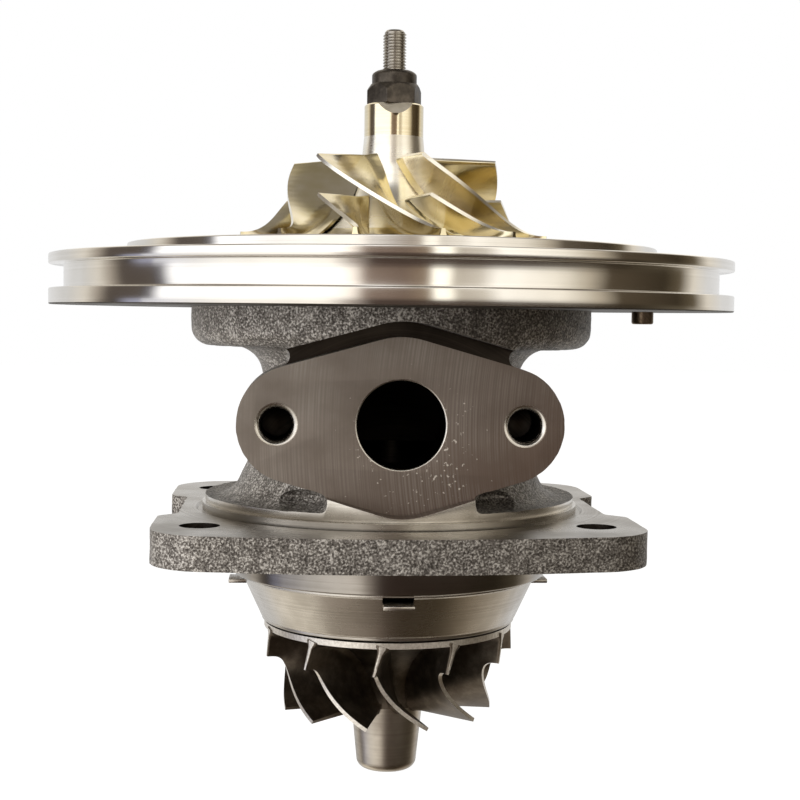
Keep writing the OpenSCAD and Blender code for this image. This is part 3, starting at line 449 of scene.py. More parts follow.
slope = math.radians(180 + BELL_SLOPE)
bell_top = (FOOT_R + FOOT_FILLET * math.cos(slope), RING_Z + FOOT_FILLET + FOOT_FILLET * math.sin(slope))
neck_z = bell_top[1] + (bell_top[0] - NECK_R) / math.tan(math.radians(BELL_SLOPE))
bell = turned(
    [(0, -ALLOWANCE), (RING_R + ALLOWANCE, -ALLOWANCE), (RING_R + ALLOWANCE, RING_Z + ALLOWANCE / 2)]
    + arc(FOOT_R, RING_Z + FOOT_FILLET, FOOT_FILLET, 270, 180 + BELL_SLOPE, 6)
    + [(NECK_R, neck_z)]
    + arc(NECK_R + NECK_FILLET, COLLAR_Z - NECK_FILLET, NECK_FILLET, 180, 90, 6)
    + arc(COLLAR_R - COLLAR_EDGE, COLLAR_Z + COLLAR_EDGE, COLLAR_EDGE, 270, 360, 6)
    + [(COLLAR_R, TOP_Z + ALLOWANCE), (0, TOP_Z + ALLOWANCE)], steps=120)

corner_x, corner_y = FLANGE_HW - FLANGE_CORNER, FLANGE_HD - FLANGE_CORNER
bow_r = (corner_x ** 2 + FLANGE_BOW ** 2) / (2 * FLANGE_BOW)
bow_end = math.degrees(math.asin(corner_x / bow_r))
quarter = face_of(
    [(0, 0), (FLANGE_HW - NOTCH_DEPTH, 0), (FLANGE_HW - NOTCH_DEPTH, NOTCH_HALF),
     (FLANGE_HW, NOTCH_HALF + NOTCH_DEPTH)]
    + arc(corner_x, corner_y, FLANGE_CORNER, 0, 90, 8)
    + arc(0, FLANGE_HD + FLANGE_BOW - bow_r, bow_r, 90 - bow_end, 90, 6)[1:],
    lambda x, y: (x, y, -ALLOWANCE))
for axis in "XY":
    bmesh.ops.mirror(quarter, geom=quarter.verts[:] + quarter.edges[:] + quarter.faces[:],
                     merge_dist=1e-3, axis=axis)
bmesh.ops.recalc_face_normals(quarter, faces=quarter.faces[:])
flange = drawn_out(quarter, (0, 0, FLANGE_T + 2 * ALLOWANCE))


def drain_outline(margin=0.0):
    """Rounded rhombus of the drain flange, from its right end round by the top."""
    end_r, crown_r = DRAIN_END + margin, DRAIN_CROWN + margin
    end_x, crown_z = DRAIN_HW - DRAIN_END, DRAIN_HH - DRAIN_CROWN
    roof = math.atan2(crown_z, end_x) + math.asin((crown_r - end_r) / math.hypot(crown_z, end_x))
    lean = 90 - math.degrees(roof)
    return (arc(end_x, 0, end_r, -lean, lean, 20) + arc(0, crown_z, crown_r, lean, 180 - lean, 8)
            + arc(-end_x, 0, end_r, 180 - lean, 180 + lean, 20)
            + arc(0, -crown_z, crown_r, 180 + lean, 360 - lean, 8))


def box(low, high):
    """A block between two corners."""
    block = bmesh.new()
    bmesh.ops.create_cube(block, size=1)
    bmesh.ops.scale(block, verts=block.verts[:], vec=Vector(high) - Vector(low))
    return moved(block, (Vector(low) + Vector(high)) / 2)


drain_block = drawn_out(
    face_of(drain_outline(), lambda x, z: (x, DRAIN_Y - ALLOWANCE, DRAIN_Z + z)),
    (0, DRAIN_DEPTH + ALLOWANCE, 0))
web = box((-WEB_HW, WEB_Y, COLLAR_Z - NECK_FILLET), (WEB_HW, -NECK_R / 2, COLLAR_Z + ALLOWANCE))
foot_web = box((-FOOT_WEB_HW, -RING_R - ALLOWANCE, 1), (FOOT_WEB_HW, -NECK_R / 2, DRAIN_Z - DRAIN_CROWN + 2))
inlet_boss = along_y(turned([(0, -INLET_Y - ALLOWANCE), (INLET_BOSS_R, -INLET_Y - ALLOWANCE),
                             (INLET_BOSS_R, -NECK_R / 2), (0, -NECK_R / 2)], 48), 0, 0, INLET_Z)
casting = worked(joined(bell, flange, drain_block, web, foot_web, inlet_boss), "REMESH", iron_finishes,
                 mode="VOXEL", voxel_size=VOXEL)
for _ in range(SMOOTHINGS):
    bmesh.ops.smooth_vert(casting, verts=casting.verts[:], factor=0.5, use_axis_x=True, use_axis_y=True,
                          use_axis_z=True)
casting.normal_update()
for vert in casting.verts:
    vert.co += vert.normal * sum(height * noise.noise(vert.co / size) for height, size in LUMPS)

FAR = 80.0
flange_facing = turned([(RING_R, FLANGE_T - UNDERCUT), (RING_R + 2 * UNDERCUT, FLANGE_T - UNDERCUT),
                        (RING_R + 3 * UNDERCUT, FLANGE_T), (FAR, FLANGE_T), (FAR, RING_Z + 3 * ALLOWANCE),
                        (RING_R, RING_Z + 3 * ALLOWANCE)])
ring_facing = turned([(RING_R - RING_STEP - UNDERCUT / 2, RING_Z - ALLOWANCE), (FAR, RING_Z - ALLOWANCE),
                      (FAR, RING_Z + 4 * ALLOWANCE), (RING_R - RING_STEP, RING_Z + 4 * ALLOWANCE),
                      (RING_R - RING_STEP, RING_Z - ALLOWANCE + UNDERCUT)])
casting = cut(casting, flange_facing, TURNED, iron_finishes)
# The ring is drawn lighter than the other turned faces, a painted highlight.
casting = cut(casting, ring_facing, RIMMED, iron_finishes)
casting = cut(casting, box((-FAR, -FAR, -FAR), (FAR, FAR, 0)), TURNED, iron_finishes)
casting = cut(casting, box((-FAR, -FAR, TOP_Z), (FAR, FAR, FAR)), TURNED, iron_finishes)
boss_reach = INLET_BOSS_R + ALLOWANCE
inlet_facing = box((-boss_reach, INLET_Y, INLET_Z - boss_reach), (boss_reach, FAR, INLET_Z + boss_reach))
casting = cut(casting, inlet_facing, MILLED, iron_finishes)

# A relief is milled round the flange's upper edge. Its floor is drawn dark, painted shade;
# its walls stay as rough as the casting.
relief_out = [p for p in drain_outline(RELIEF_W) if p[1] > RELIEF_OUT_Z]
relief_in = [p for p in drain_outline() if p[1] > RELIEF_IN_Z][::-1]
relief_cut = drawn_out(face_of(relief_out + relief_in, lambda x, z: (x, RELIEF_Y - FAR, DRAIN_Z + z)),
                       (0, FAR, 0))
casting = cut(casting, relief_cut, BORE_SHADE, iron_finishes)
for face in casting.faces:
    if face.material_index == BORE_SHADE and abs(face.normal.y) < 0.5:
        face.material_index = CAST
POCKET_AT, POCKET_BALL, POCKET_SHAPE = (16.4, -23.4, 8.9), 5.0, (1.1, 1.05, 0.34)
for side in (-1, 1):
    hollow = bmesh.new()
    bmesh.ops.create_uvsphere(hollow, u_segments=40, v_segments=24, radius=POCKET_BALL)
    bmesh.ops.scale(hollow, verts=hollow.verts[:], vec=POCKET_SHAPE)
    moved(hollow, (side * POCKET_AT[0], POCKET_AT[1], POCKET_AT[2]))
    casting = cut(casting, hollow, CAST, iron_finishes)
face_cut = drawn_out(face_of(drain_outline(FACE_MARGIN), lambda x, z: (x, DRAIN_Y - FAR, DRAIN_Z + z)),
                     (0, FAR, 0))
casting = cut(casting, face_cut, MILLED, iron_finishes)

SPIGOT_R, SPIGOT_Z, SEAT_R, SEAT_Z, NOSE_R, NOSE_Z, SPIGOT_EDGE = 26.4, -5.6, 22.8, -2.5, 14.0, -12.5, 0.3
spigot = turned([(0, NOSE_Z), (NOSE_R, NOSE_Z), (NOSE_R, SEAT_Z), (SEAT_R, SEAT_Z), (SEAT_R, SPIGOT_Z),
                 (SPIGOT_R, SPIGOT_Z), (SPIGOT_R, FLANGE_T / 2), (0, FLANGE_T / 2)], fillet=SPIGOT_EDGE)
casting = cut(casting, spigot, GROUND, iron_finishes, "UNION")

drillings = []
for x in (-1, 1):
    for y in (-1, 1):
        hole = turned([(0, -OVERRUN), (FLANGE_HOLE_R, -OVERRUN), (FLANGE_HOLE_R, FLANGE_T + OVERRUN),
                       (0, FLANGE_T + OVERRUN)], 48)
        moved(hole, (x * FLANGE_HOLES[0], y * FLANGE_HOLES[1], 0))
        drillings.append(hole)
for x in (-TAP_X, TAP_X):
    ridges = [(TAP_R + (TAP_RIDGE_H if i % 2 else 0.0), -TAP_EDGE - TAP_RIDGE_L * i)
              for i in range(TAP_RIDGES)]
    tapped = along_y(turned([(0, OVERRUN), (TAP_R, OVERRUN)] + ridges
                            + [(TAP_R, -TAP_DEPTH), (0, -TAP_DEPTH - TAP_POINT)], 64), x, DRAIN_Y, DRAIN_Z)
    drillings.append(tapped)
DRAIN_BORE_L, DRAIN_EDGE = 10, 0.3
drain_bore = along_y(turned([(0, OVERRUN), (DRAIN_R, OVERRUN), (DRAIN_R, -DRAIN_BORE_L),
                             (0, -DRAIN_BORE_L)], 96), 0, DRAIN_Y, DRAIN_Z)
edges = [along_y(turned([(0, OVERRUN), (r + edge, OVERRUN)] + arc(r + edge, -edge, edge, 90, 180, 5)
                        + [(0, -edge)], 96), x, DRAIN_Y, DRAIN_Z)
         for x, r, edge in ((0, DRAIN_R, DRAIN_EDGE), (-TAP_X, TAP_R, TAP_EDGE), (TAP_X, TAP_R, TAP_EDGE))]
inlet_bore = along_y(turned([(0, 0), (INLET_R, 0), (INLET_R, INLET_DEPTH - INLET_EDGE),
                             (INLET_R + INLET_EDGE + OVERRUN, INLET_DEPTH + OVERRUN),
                             (0, INLET_DEPTH + OVERRUN)], 64), 0, 0, INLET_Z)
spun(inlet_bore, 180)
moved(inlet_bore, (0, INLET_Y - INLET_DEPTH, 0))
# Drilled holes are drawn dark brown and the drain bore near black, painted shade; the edges of holes are
# drawn lighter, a painted highlight.
for tool in drillings + [inlet_bore]:
    casting = cut(casting, tool, BORE_SHADE, iron_finishes)
casting = cut(casting, drain_bore, CORED, iron_finishes)
for tool in edges:
    casting = cut(casting, tool, RIMMED, iron_finishes)

SEAL_BORE_R, DRIP_R, BORE_R, POCKET_R, THRUST_R, DEFLECTOR_R = 7.5, 11.5, 6.46, 9.5, 14.6, 15.9
BORE_Z, POCKET_Z, THRUST_Z, DEFLECTOR_Z, BORE_RELIEF = -1.6, 28.9, 31.4, 37.5, 0.9
CORE_R, CORE_BACK, CORE_LOW, CORE_HIGH = 15.0, 7.5, 10.4, 17.2
main_bore = turned([(0, NOSE_Z - OVERRUN), (SEAL_BORE_R, NOSE_Z - OVERRUN), (SEAL_BORE_R, SPIGOT_Z),
                    (DRIP_R, SPIGOT_Z), (DRIP_R, BORE_Z), (BORE_R + BORE_RELIEF, BORE_Z),
                    (BORE_R + BORE_RELIEF, POCKET_Z), (POCKET_R, POCKET_Z), (POCKET_R, THRUST_Z),
                    (THRUST_R, THRUST_Z), (THRUST_R, DEFLECTOR_Z),
                    (DEFLECTOR_R, DEFLECTOR_Z), (DEFLECTOR_R, TOP_Z + OVERRUN), (0, TOP_Z + OVERRUN)], 96)
core = turned([(0, CORE_LOW), (CORE_R, CORE_LOW), (CORE_R, CORE_HIGH), (0, CORE_HIGH)], 64)
bmesh.ops.bisect_plane(core, geom=core.verts[:] + core.edges[:] + core.faces[:], plane_co=(0, CORE_BACK, 0),
                       plane_no=(0, 1, 0), clear_outer=True)
bmesh.ops.holes_fill(core, edges=[e for e in core.edges if e.is_boundary])
CHAMBER_HW, CHAMBER_FRONT, CHAMBER_BACK = 8, -17, -11.4
chamber = box((-CHAMBER_HW, CHAMBER_FRONT, CORE_LOW + 0.1), (CHAMBER_HW, CHAMBER_BACK, THRUST_Z + 0.4))
SEAL_IN_R, SEAL_OUT_R, SEAL_DEPTH = 27.8, 30.2, 1.8
seal_groove = turned([(SEAL_IN_R, TOP_Z - SEAL_DEPTH), (SEAL_OUT_R, TOP_Z - SEAL_DEPTH),
                      (SEAL_OUT_R, TOP_Z + OVERRUN), (SEAL_IN_R, TOP_Z + OVERRUN)])
# The main bore, core and chamber are drawn near black and the seal groove dark brown: painted shade.
for tool, number in ((main_bore, CORED), (core, CORED), (chamber, CORED), (seal_groove, BORE_SHADE)):
    casting = cut(casting, tool, number, iron_finishes)
bmesh.ops.remove_doubles(casting, verts=casting.verts[:], dist=TOUCH)
housing = settled("bearing_housing_casting", casting, iron_finishes, sharp=40)
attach(housing, "housing")
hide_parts("bearing_housing")

# Pieces sealed in the housing: bronze bushes and thrust bearing, ground steel rings, washers and
# sleeve, a rubber ring and black socket screws. They keep their CAD shapes.

# Bearing bronze is yellow-brown with fine rings, ground steel a cold light grey, pressed steel duller,
# and piston ring iron dark grey.
bronze = lathe_metal("bearing_bronze", "#c79c55", "#9c7437", 0.32, 0.4, 0.03)
ground_steel = lathe_metal("ground_steel", "#b9b6b0", "#98948d", 0.24, 0.3, 0.02)
pressed_steel = lathe_metal("pressed_steel", "#a9a59c", "#87827a", 0.36, 0.8, 0.03)
ring_iron = lathe_metal("piston_ring_iron", "#7d7871", "#5d5852", 0.36, 0.4, 0.02)
# Black oxide on steel: a mottled brown-black skin with a low gloss.
oxide_steel, tree, shader, place = metal("black_oxide_steel")
bloom = add(tree, "TexNoise", {"Vector": place, "Scale": per_mm(1.6), "Detail": 4.0, "Roughness": 0.6})
skin = add(tree, "ValToRGB", {"Fac": bloom.outputs["Fac"]}, stops=[
    (0.35, paint("#45403b")), (0.55, paint("#58524b")), (0.72, paint("#70685f"))])
hazy = add(tree, "MapRange", {"Value": bloom.outputs["Fac"], "To Min": 0.3, "To Max": 0.55})
bump = add(tree, "Bump", {"Height": bloom.outputs["Fac"], "Strength": 0.2, "Distance": 0.05 * MM})
fill(shader, {"Base Color": skin.outputs["Color"], "Roughness": hazy.outputs["Result"],
              "Normal": bump.outputs["Normal"]})
# Moulded rubber: near black and matt, with a fine bloom.
rubber, tree, shader, place = metal("moulded_rubber")
bloom = add(tree, "TexNoise", {"Vector": place, "Scale": per_mm(0.8), "Detail": 3.0})
skin = add(tree, "ValToRGB", {"Fac": bloom.outputs["Fac"]}, stops=[
    (0.3, paint("#1a1a1a")), (0.7, paint("#292828"))])
bump = add(tree, "Bump", {"Height": bloom.outputs["Fac"], "Strength": 0.15, "Distance": 0.04 * MM})
fill(shader, {"Base Color": skin.outputs["Color"], "Normal": bump.outputs["Normal"], "Metallic": 0.0,
              "Roughness": 0.6})
inner_pieces = {
    "journal_bearing_turbine": bronze, "journal_bearing_compressor": bronze, "thrust_bearing": bronze,
    "thrust_bearing_pins": ground_steel, "thrust_washer": ground_steel, "thrust_collar": ground_steel,
    "flinger_sleeve": ground_steel, "oil_deflector": pressed_steel, "compressor_piston_ring": ring_iron,
    "turbine_piston_ring": ring_iron, "backplate_seal_ring": rubber, "backplate_screws": oxide_steel,
    "retaining_ring_1": ground_steel, "retaining_ring_2": ground_steel,
    "retaining_ring_3": ground_steel, "retaining_ring_4": ground_steel,
}
for node, finish in inner_pieces.items():
    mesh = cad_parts[node].data
    mesh.materials.clear()
    mesh.materials.append(finish)

# Compressor backplate: a disc turned from aluminium plate, with a rim groove for a seal ring, a
# raised diffuser face and a recess for the wheel. Four screws in the recess hold it to the housing.
PLATE_R, PLATE_Z, LAND_Z, GROOVE_Z, RIM_Z = 56.5, 38.6, 41.2, 45.1, 46.7
GROOVE_R, DIFFUSER_R, DIFFUSER_Z, RECESS_R, RECESS_Z, PLATE_BORE_R = 54.1, 44.0, 48.7, 26.4, 47.4, 6.4
PLATE_FILLET = 0.2
# Turned aluminium: near white. Its turning lines draw what it mirrors out into upright streaks.
turned_plate = lathe_metal("turned_aluminium", "#ebe8e3", "#d9d5ce", 0.13, 0.4, 0.02, 16.0)
shader = turned_plate.node_tree.nodes["Principled BSDF"]
tangent = add(turned_plate.node_tree, "Tangent", direction_type="RADIAL", axis="Z")
fill(shader, {"Anisotropic": 0.7, "Anisotropic Rotation": 0.25, "Tangent": tangent.outputs["Tangent"]})
disc = turned([(PLATE_BORE_R, PLATE_Z), (PLATE_R, PLATE_Z), (PLATE_R, LAND_Z), (GROOVE_R, LAND_Z),
               (GROOVE_R, GROOVE_Z), (PLATE_R, GROOVE_Z), (PLATE_R, RIM_Z), (DIFFUSER_R, RIM_Z),
               (DIFFUSER_R, DIFFUSER_Z), (RECESS_R, DIFFUSER_Z), (RECESS_R, RECESS_Z),
               (PLATE_BORE_R, RECESS_Z)], steps=288, fillet=PLATE_FILLET)
SCREW_PITCH_R, SCREW_SEAT_R, SCREW_SEAT_Z, SCREW_R = 20.6, 3.7, 44.4, 2.05
# Underside of the plate: dull, and dark as painted shade, so that it draws a line below the rim.
underside_shade = lathe_metal("underside_painted_shade", "#5f5a54", "#4a4641", 0.5, 0.5, 0.02)
plate_finishes = [turned_plate, underside_shade]
for i in range(4):
    seat = turned([(0, PLATE_Z - OVERRUN), (SCREW_R, PLATE_Z - OVERRUN), (SCREW_R, SCREW_SEAT_Z),
                   (SCREW_SEAT_R, SCREW_SEAT_Z), (SCREW_SEAT_R, RECESS_Z + OVERRUN),
                   (0, RECESS_Z + OVERRUN)], 48)
    turn = math.radians(45 + 90 * i)
    moved(seat, (SCREW_PITCH_R * math.cos(turn), SCREW_PITCH_R * math.sin(turn), 0))
    disc = cut(disc, seat, 0, plate_finishes)
PIN_X, PIN_R, PIN_LOW, PIN_HIGH, PIN_EDGE, PIN_FIT = 43.0, 1.85, 36.5, 43.5, 0.35, 0.05
socket = turned([(0, PLATE_Z - OVERRUN), (PIN_R + PIN_FIT, PLATE_Z - OVERRUN), (PIN_R + PIN_FIT, PIN_HIGH),
                 (0, PIN_HIGH)], 48)
moved(socket, (PIN_X, 0, 0))
disc = cut(disc, socket, 0, plate_finishes)
# Faces low on the plate take the dark underside finish, painted shade.
for face in disc.faces:
    face.material_index = 1 if face.calc_center_median().z < PLATE_Z + 0.8 * PLATE_FILLET else 0
backplate = settled("backplate_disc", disc, plate_finishes)
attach(backplate, "housing")
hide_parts("compressor_backplate")

# Locating pin: a hardened steel dowel pressed into the backplate from below, browned by its heat
# treatment. It sets the turn of the compressor housing.
dowel = turned([(0, PIN_LOW), (PIN_R, PIN_LOW), (PIN_R, PIN_HIGH), (0, PIN_HIGH)], 48, fillet=PIN_EDGE)
moved(dowel, (PIN_X, 0, 0))
# Tempered steel: browned by heat, half matt.
tempered = lathe_metal("tempered_steel", "#8d7c69", "#6a5c4d", 0.42, 0.5, 0.02, 2.0)
pin = settled("locating_dowel", dowel, [tempered])
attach(pin, "housing")
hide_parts("locating_pin")

# Heat shield: a cup pressed from stainless sheet and held under the spigot by its four spring tabs,
# which are lanced out of the rim and bent level. It keeps exhaust heat off the bearings.
SHIELD_R, SHIELD_LOW_R, SHIELD_LOW_Z, SHEET = 25.0, 21.4, -13.6, 0.7
BAND_H, BAND_STEP, SHIELD_HOLE_R, TAB_W, TAB_OUT, WINDOW_H, WINDOW_IN = 0.6, 0.2, 10.2, 4.9, 2.0, 1.4, 1.6
# Pressed stainless sheet: pale grey with a soft sheen and faint rings from the press.
shield_steel = lathe_metal("pressed_stainless", "#cec9c2", "#b1aba2", 0.27, 0.55, 0.03, 7.0)
LIP_R = SEAT_R + BAND_STEP
ROLL_H, ROLL_IN, SHIELD_EDGE, TAB_EDGE, TAB_IN = 0.55, 0.32, 0.16, 0.15, 1.1
TAB_Z = SPIGOT_Z - WINDOW_H - SHEET
cup = turned([(LIP_R, SPIGOT_Z), (SHIELD_R, SPIGOT_Z), (SHIELD_R, SPIGOT_Z - ROLL_H),
              (SHIELD_R - ROLL_IN, SPIGOT_Z - ROLL_H - ROLL_IN / 2),
              (SHIELD_LOW_R + BAND_STEP, SHIELD_LOW_Z + BAND_H),
              (SHIELD_LOW_R, SHIELD_LOW_Z + BAND_H - BAND_STEP / 2), (SHIELD_LOW_R, SHIELD_LOW_Z),
              (SHIELD_HOLE_R, SHIELD_LOW_Z), (SHIELD_HOLE_R, SHIELD_LOW_Z + SHEET),
              (SHIELD_LOW_R - SHEET, SHIELD_LOW_Z + SHEET), (SHIELD_R - 1.5 * SHEET, SPIGOT_Z - SHEET),
              (LIP_R, SPIGOT_Z - SHEET)], steps=224, fillet=SHIELD_EDGE)
shield_finishes = [shield_steel]
for i in range(4):
    window = box((SHIELD_R - WINDOW_IN, -TAB_W / 2, TAB_Z + SHEET),
                 (SHIELD_R + OVERRUN, TAB_W / 2, SPIGOT_Z + OVERRUN))
    tab = box((SHIELD_R - TAB_IN, -TAB_W / 2, TAB_Z), (SHIELD_R + TAB_OUT, TAB_W / 2, TAB_Z + SHEET))
    bmesh.ops.bevel(tab, geom=tab.edges[:], offset=TAB_EDGE, segments=2, affect="EDGES", profile=0.5,
                    material=-1)
    for shape in (window, tab):
        spun(shape, 90 * i)
    cup = cut(cup, window, 0, shield_finishes)
    cup = cut(cup, tab, 0, shield_finishes, "UNION")
shield = settled("heat_shield_cup", cup, shield_finishes)
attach(shield, "housing")
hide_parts("heat_shield")

# Rotor shaft: steel, friction-welded to the turbine wheel, with ground journals and a rolled thread
# on its thin end. Only the end of the thread shows.
WELD_Z, SHAFT_SEAL_R, GROOVE_LOW, GROOVE_HIGH, RING_GROOVE_R = -12.9, 7.4, -10.3, -8.6, 6.3
JOURNAL_R, STUB_R, STUB_LOW, THREAD_LOW, SHAFT_TOP = 4.0, 2.5, 29.3, 71.6, 85.0
THREAD_R, THREAD_DEPTH, PITCH = 1.95, 0.24, 0.5
# Rolled steel: grey, shiny at the thread's crests. Inside the housing it is drawn dark, a painted shade.
rolled_steel = lathe_metal("rolled_steel", "#bdb8af", "#9a948b", 0.26, 0.5, 0.02)
inside_shade_steel = lathe_metal("steel_painted_shade", "#3a3733", "#2a2724", 0.4, 0.5, 0.02)
root_r = THREAD_R - THREAD_DEPTH
spindle = turned(
    [(0, WELD_Z), (SHAFT_SEAL_R, WELD_Z), (SHAFT_SEAL_R, GROOVE_LOW), (RING_GROOVE_R, GROOVE_LOW),
     (RING_GROOVE_R, GROOVE_HIGH), (SHAFT_SEAL_R, GROOVE_HIGH), (SHAFT_SEAL_R, SPIGOT_Z + 0.5),
     (JOURNAL_R, SPIGOT_Z + 2), (JOURNAL_R, STUB_LOW), (STUB_R, STUB_LOW), (STUB_R, THREAD_LOW),
     (root_r, THREAD_LOW), (root_r, SHAFT_TOP - 0.35), (root_r - 0.3, SHAFT_TOP), (0, SHAFT_TOP)], 96)
THREAD_STEPS, RIDGE_SINK, RUN_OUT = 40, 0.1, 0.55
turns = int((SHAFT_TOP - THREAD_LOW) / PITCH) - 1
ridge = face_of([(root_r - RIDGE_SINK, 0), (root_r - RIDGE_SINK, PITCH * 0.98),
                 (THREAD_R, PITCH * 0.56), (THREAD_R, PITCH * 0.42)], lambda r, z: (r, 0, THREAD_LOW + z))
start = ridge.faces[:]
bmesh.ops.spin(ridge, geom=ridge.verts[:] + ridge.edges[:] + start, cent=(0, 0, 0), axis=(0, 0, 1),
               dvec=(0, 0, PITCH / THREAD_STEPS), angle=2 * math.pi * turns, steps=THREAD_STEPS * turns)
for vert in ridge.verts:
    out = math.hypot(vert.co.x, vert.co.y)
    left = max(0.0, min(1.0, (SHAFT_TOP - 0.1 - vert.co.z) / RUN_OUT))
    limit = root_r - 0.12 + (THREAD_R - root_r + 0.12) * left
    if out > limit:
        vert.co.x *= limit / out
        vert.co.y *= limit / out
bmesh.ops.recalc_face_normals(ridge, faces=ridge.faces[:])
# The shaft below the stub, inside the housing, takes the dark steel: painted shade.
for face in spindle.faces:
    face.material_index = 1 if face.calc_center_median().z < STUB_LOW + 2 else 0
shaft = settled("shaft_with_thread", joined(spindle, ridge), [rolled_steel, inside_shade_steel])
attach(shaft, "rotor")
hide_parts("rotor_shaft")


def ease(s):
    """Crowd the steps of a blade towards its two ends."""
    return s * s * (3 - 2 * s)


ROOT_SINK, NUDGE, FILLET_REACH, FILLET_FADE = 0.4, 0.004, 2.2, 2.5


def bladed(camber, span_steps, chord_steps, first, root_t, tip_t, fillet, nose, blunt, tip_finish):
    """One blade: a grid drawn out to two sides and laid on the camber surface, thick at its root."""
    blade = bmesh.new()
    bmesh.ops.create_grid(blade, x_segments=chord_steps, y_segments=span_steps, size=1)
    grown = bmesh.ops.extrude_face_region(blade, geom=blade.faces[:])["geom"]
    bmesh.ops.translate(blade, verts=[g for g in grown if isinstance(g, bmesh.types.BMVert)], vec=(0, 0, 1))
    bmesh.ops.recalc_face_normals(blade, faces=blade.faces[:])
    for face in blade.faces:
        if min(v.co.y for v in face.verts) > 0.999 or max(v.co.x for v in face.verts) < -0.999:
            face.material_index = tip_finish
    for vert in blade.verts:
        u = first + (1 - first) * ease((vert.co.x + 1) / 2)
        span = (camber(u, 1) - camber(u, 0)).length
        v = -ROOT_SINK / span + (1 + ROOT_SINK / span) * (vert.co.y + 1) / 2
        chordwise = camber(min(1, u + NUDGE), v) - camber(max(0, u - NUDGE), v)
        across = chordwise.cross(camber(u, v + NUDGE) - camber(u, v - NUDGE)).normalized()
        along = (camber(u, v) - camber(first, v)).length
        thin = min(1.0, along / nose)
        half = (root_t + (tip_t - root_t) * max(v, 0)) / 2
        half += fillet * max(0.0, 1 - max(v, 0) * span / (FILLET_REACH * fillet)) ** FILLET_FADE
        half *= blunt + (1 - blunt) * math.sqrt(1 - (1 - thin) ** 2)
        vert.co = camber(u, v) + across * (half if vert.co.z > 0.5 else -half)
    if blade.calc_volume(signed=True) < 0:
        bmesh.ops.reverse_faces(blade, faces=blade.faces[:])
    return blade


def ringed(shape, count, phase):
    """Copies of a shape round the shaft's axis, in one mesh."""
    copies = [spun(shape.copy(), phase + 360 * i / count) for i in range(count)]
    shape.free()
    return joined(*copies)


def meridian(r, z, degrees):
    """Point at a radius and height, turned about the shaft's axis."""
    return Vector((r * math.cos(math.radians(degrees)), r * math.sin(math.radians(degrees)), z))


# Turbine wheel: cast in a nickel alloy with eleven blades and a long nose, darkened by heat, with
# its blade tips ground bright to size. It is welded to the shaft.
TURB_R, TURB_EXIT_R, TURB_EXIT_Z, TURB_HUB_R, TURB_HUB_Z = 21.2, 17.6, -28.9, 5.9, -28.4
TURB_BACK_Z, TURB_ROOT_Z, TURB_INLET_B, TURB_RIM_R = -14.0, -14.95, 4.4, 21.0
TURB_NOSE_Z, TURB_NOSE_R, TURB_NOSE_ROUND, TURB_BOSS_R = -39.7, 5.1, 1.6, 7.2
TURB_BLADES, TURB_WRAP, TURB_LEAN, TURB_PHASE, TURB_CURVE = 11, 24.5, 3.5, -96.0, 0.5
# Cast nickel alloy: a dull brown-grey skin, blotched by heat, with a fine grit.
cast_alloy, tree, shader, place = metal("cast_nickel_alloy")
scale_skin = add(tree, "TexNoise", {"Vector": place, "Scale": per_mm(2.5), "Detail": 5.0, "Roughness": 0.65})
grit = add(tree, "TexNoise", {"Vector": place, "Scale": per_mm(0.35), "Detail": 2.0})
skin = add(tree, "ValToRGB", {"Fac": scale_skin.outputs["Fac"]}, stops=[
    (0.3, paint("#5b5248")), (0.5, paint("#6e655a")), (0.72, paint("#8b8175"))])
matt = add(tree, "MapRange", {"Value": scale_skin.outputs["Fac"], "To Min": 0.36, "To Max": 0.56})
bump = add(tree, "Bump", {"Height": grit.outputs["Fac"], "Strength": 0.25, "Distance": 0.05 * MM})
fill(shader, {"Base Color": skin.outputs["Color"], "Roughness": matt.outputs["Result"],
              "Normal": bump.outputs["Normal"]})
# Ground nickel alloy: blade tips and rim as bright, faintly scratched edges.
ground_tip, tree, shader, place = metal("ground_nickel_alloy")
scratches = add(tree, "TexNoise", {"Vector": place, "Scale": per_mm(0.4), "Detail": 3.0})
tone = add(tree, "ValToRGB", {"Fac": scratches.outputs["Fac"]}, stops=[
    (0.3, paint("#cfc9c0")), (0.7, paint("#f0ebe3"))])
bump = add(tree, "Bump", {"Height": scratches.outputs["Fac"], "Strength": 0.15, "Distance": 0.03 * MM})
fill(shader, {"Base Color": tone.outputs["Color"], "Normal": bump.outputs["Normal"], "Roughness": 0.42})
# Turned nickel alloy: the nose is a softer grey with rings.
nose_alloy = lathe_metal("turned_nickel_alloy", "#c0b8ac", "#9c9388", 0.33, 0.6, 0.03, 5.0)


def turbine_hub(u):
    """Radius and height of the hub's line, from the rim (0) to the outlet (1)."""
    turn = math.pi / 2 * u
    return (TURB_R - (TURB_R - TURB_HUB_R) * math.sin(turn),
            TURB_HUB_Z + (TURB_ROOT_Z - TURB_HUB_Z) * math.cos(turn))


def turbine_camber(u, v):
    """Point in the middle of a blade: u from inlet to outlet, v from hub to tip."""
    turn = math.pi / 2 * u
    up = max(0.0, math.cos(turn)) ** TURB_CURVE
    shroud = (TURB_R - (TURB_R - TURB_EXIT_R) * math.sin(turn) ** TURB_CURVE,
              TURB_EXIT_Z + (TURB_ROOT_Z - TURB_INLET_B - TURB_EXIT_Z) * up)
    hub = turbine_hub(u)
    return meridian(hub[0] + (shroud[0] - hub[0]) * v, hub[1] + (shroud[1] - hub[1]) * v,
                    TURB_WRAP * (1 - up) ** 2 - TURB_LEAN * v * up)


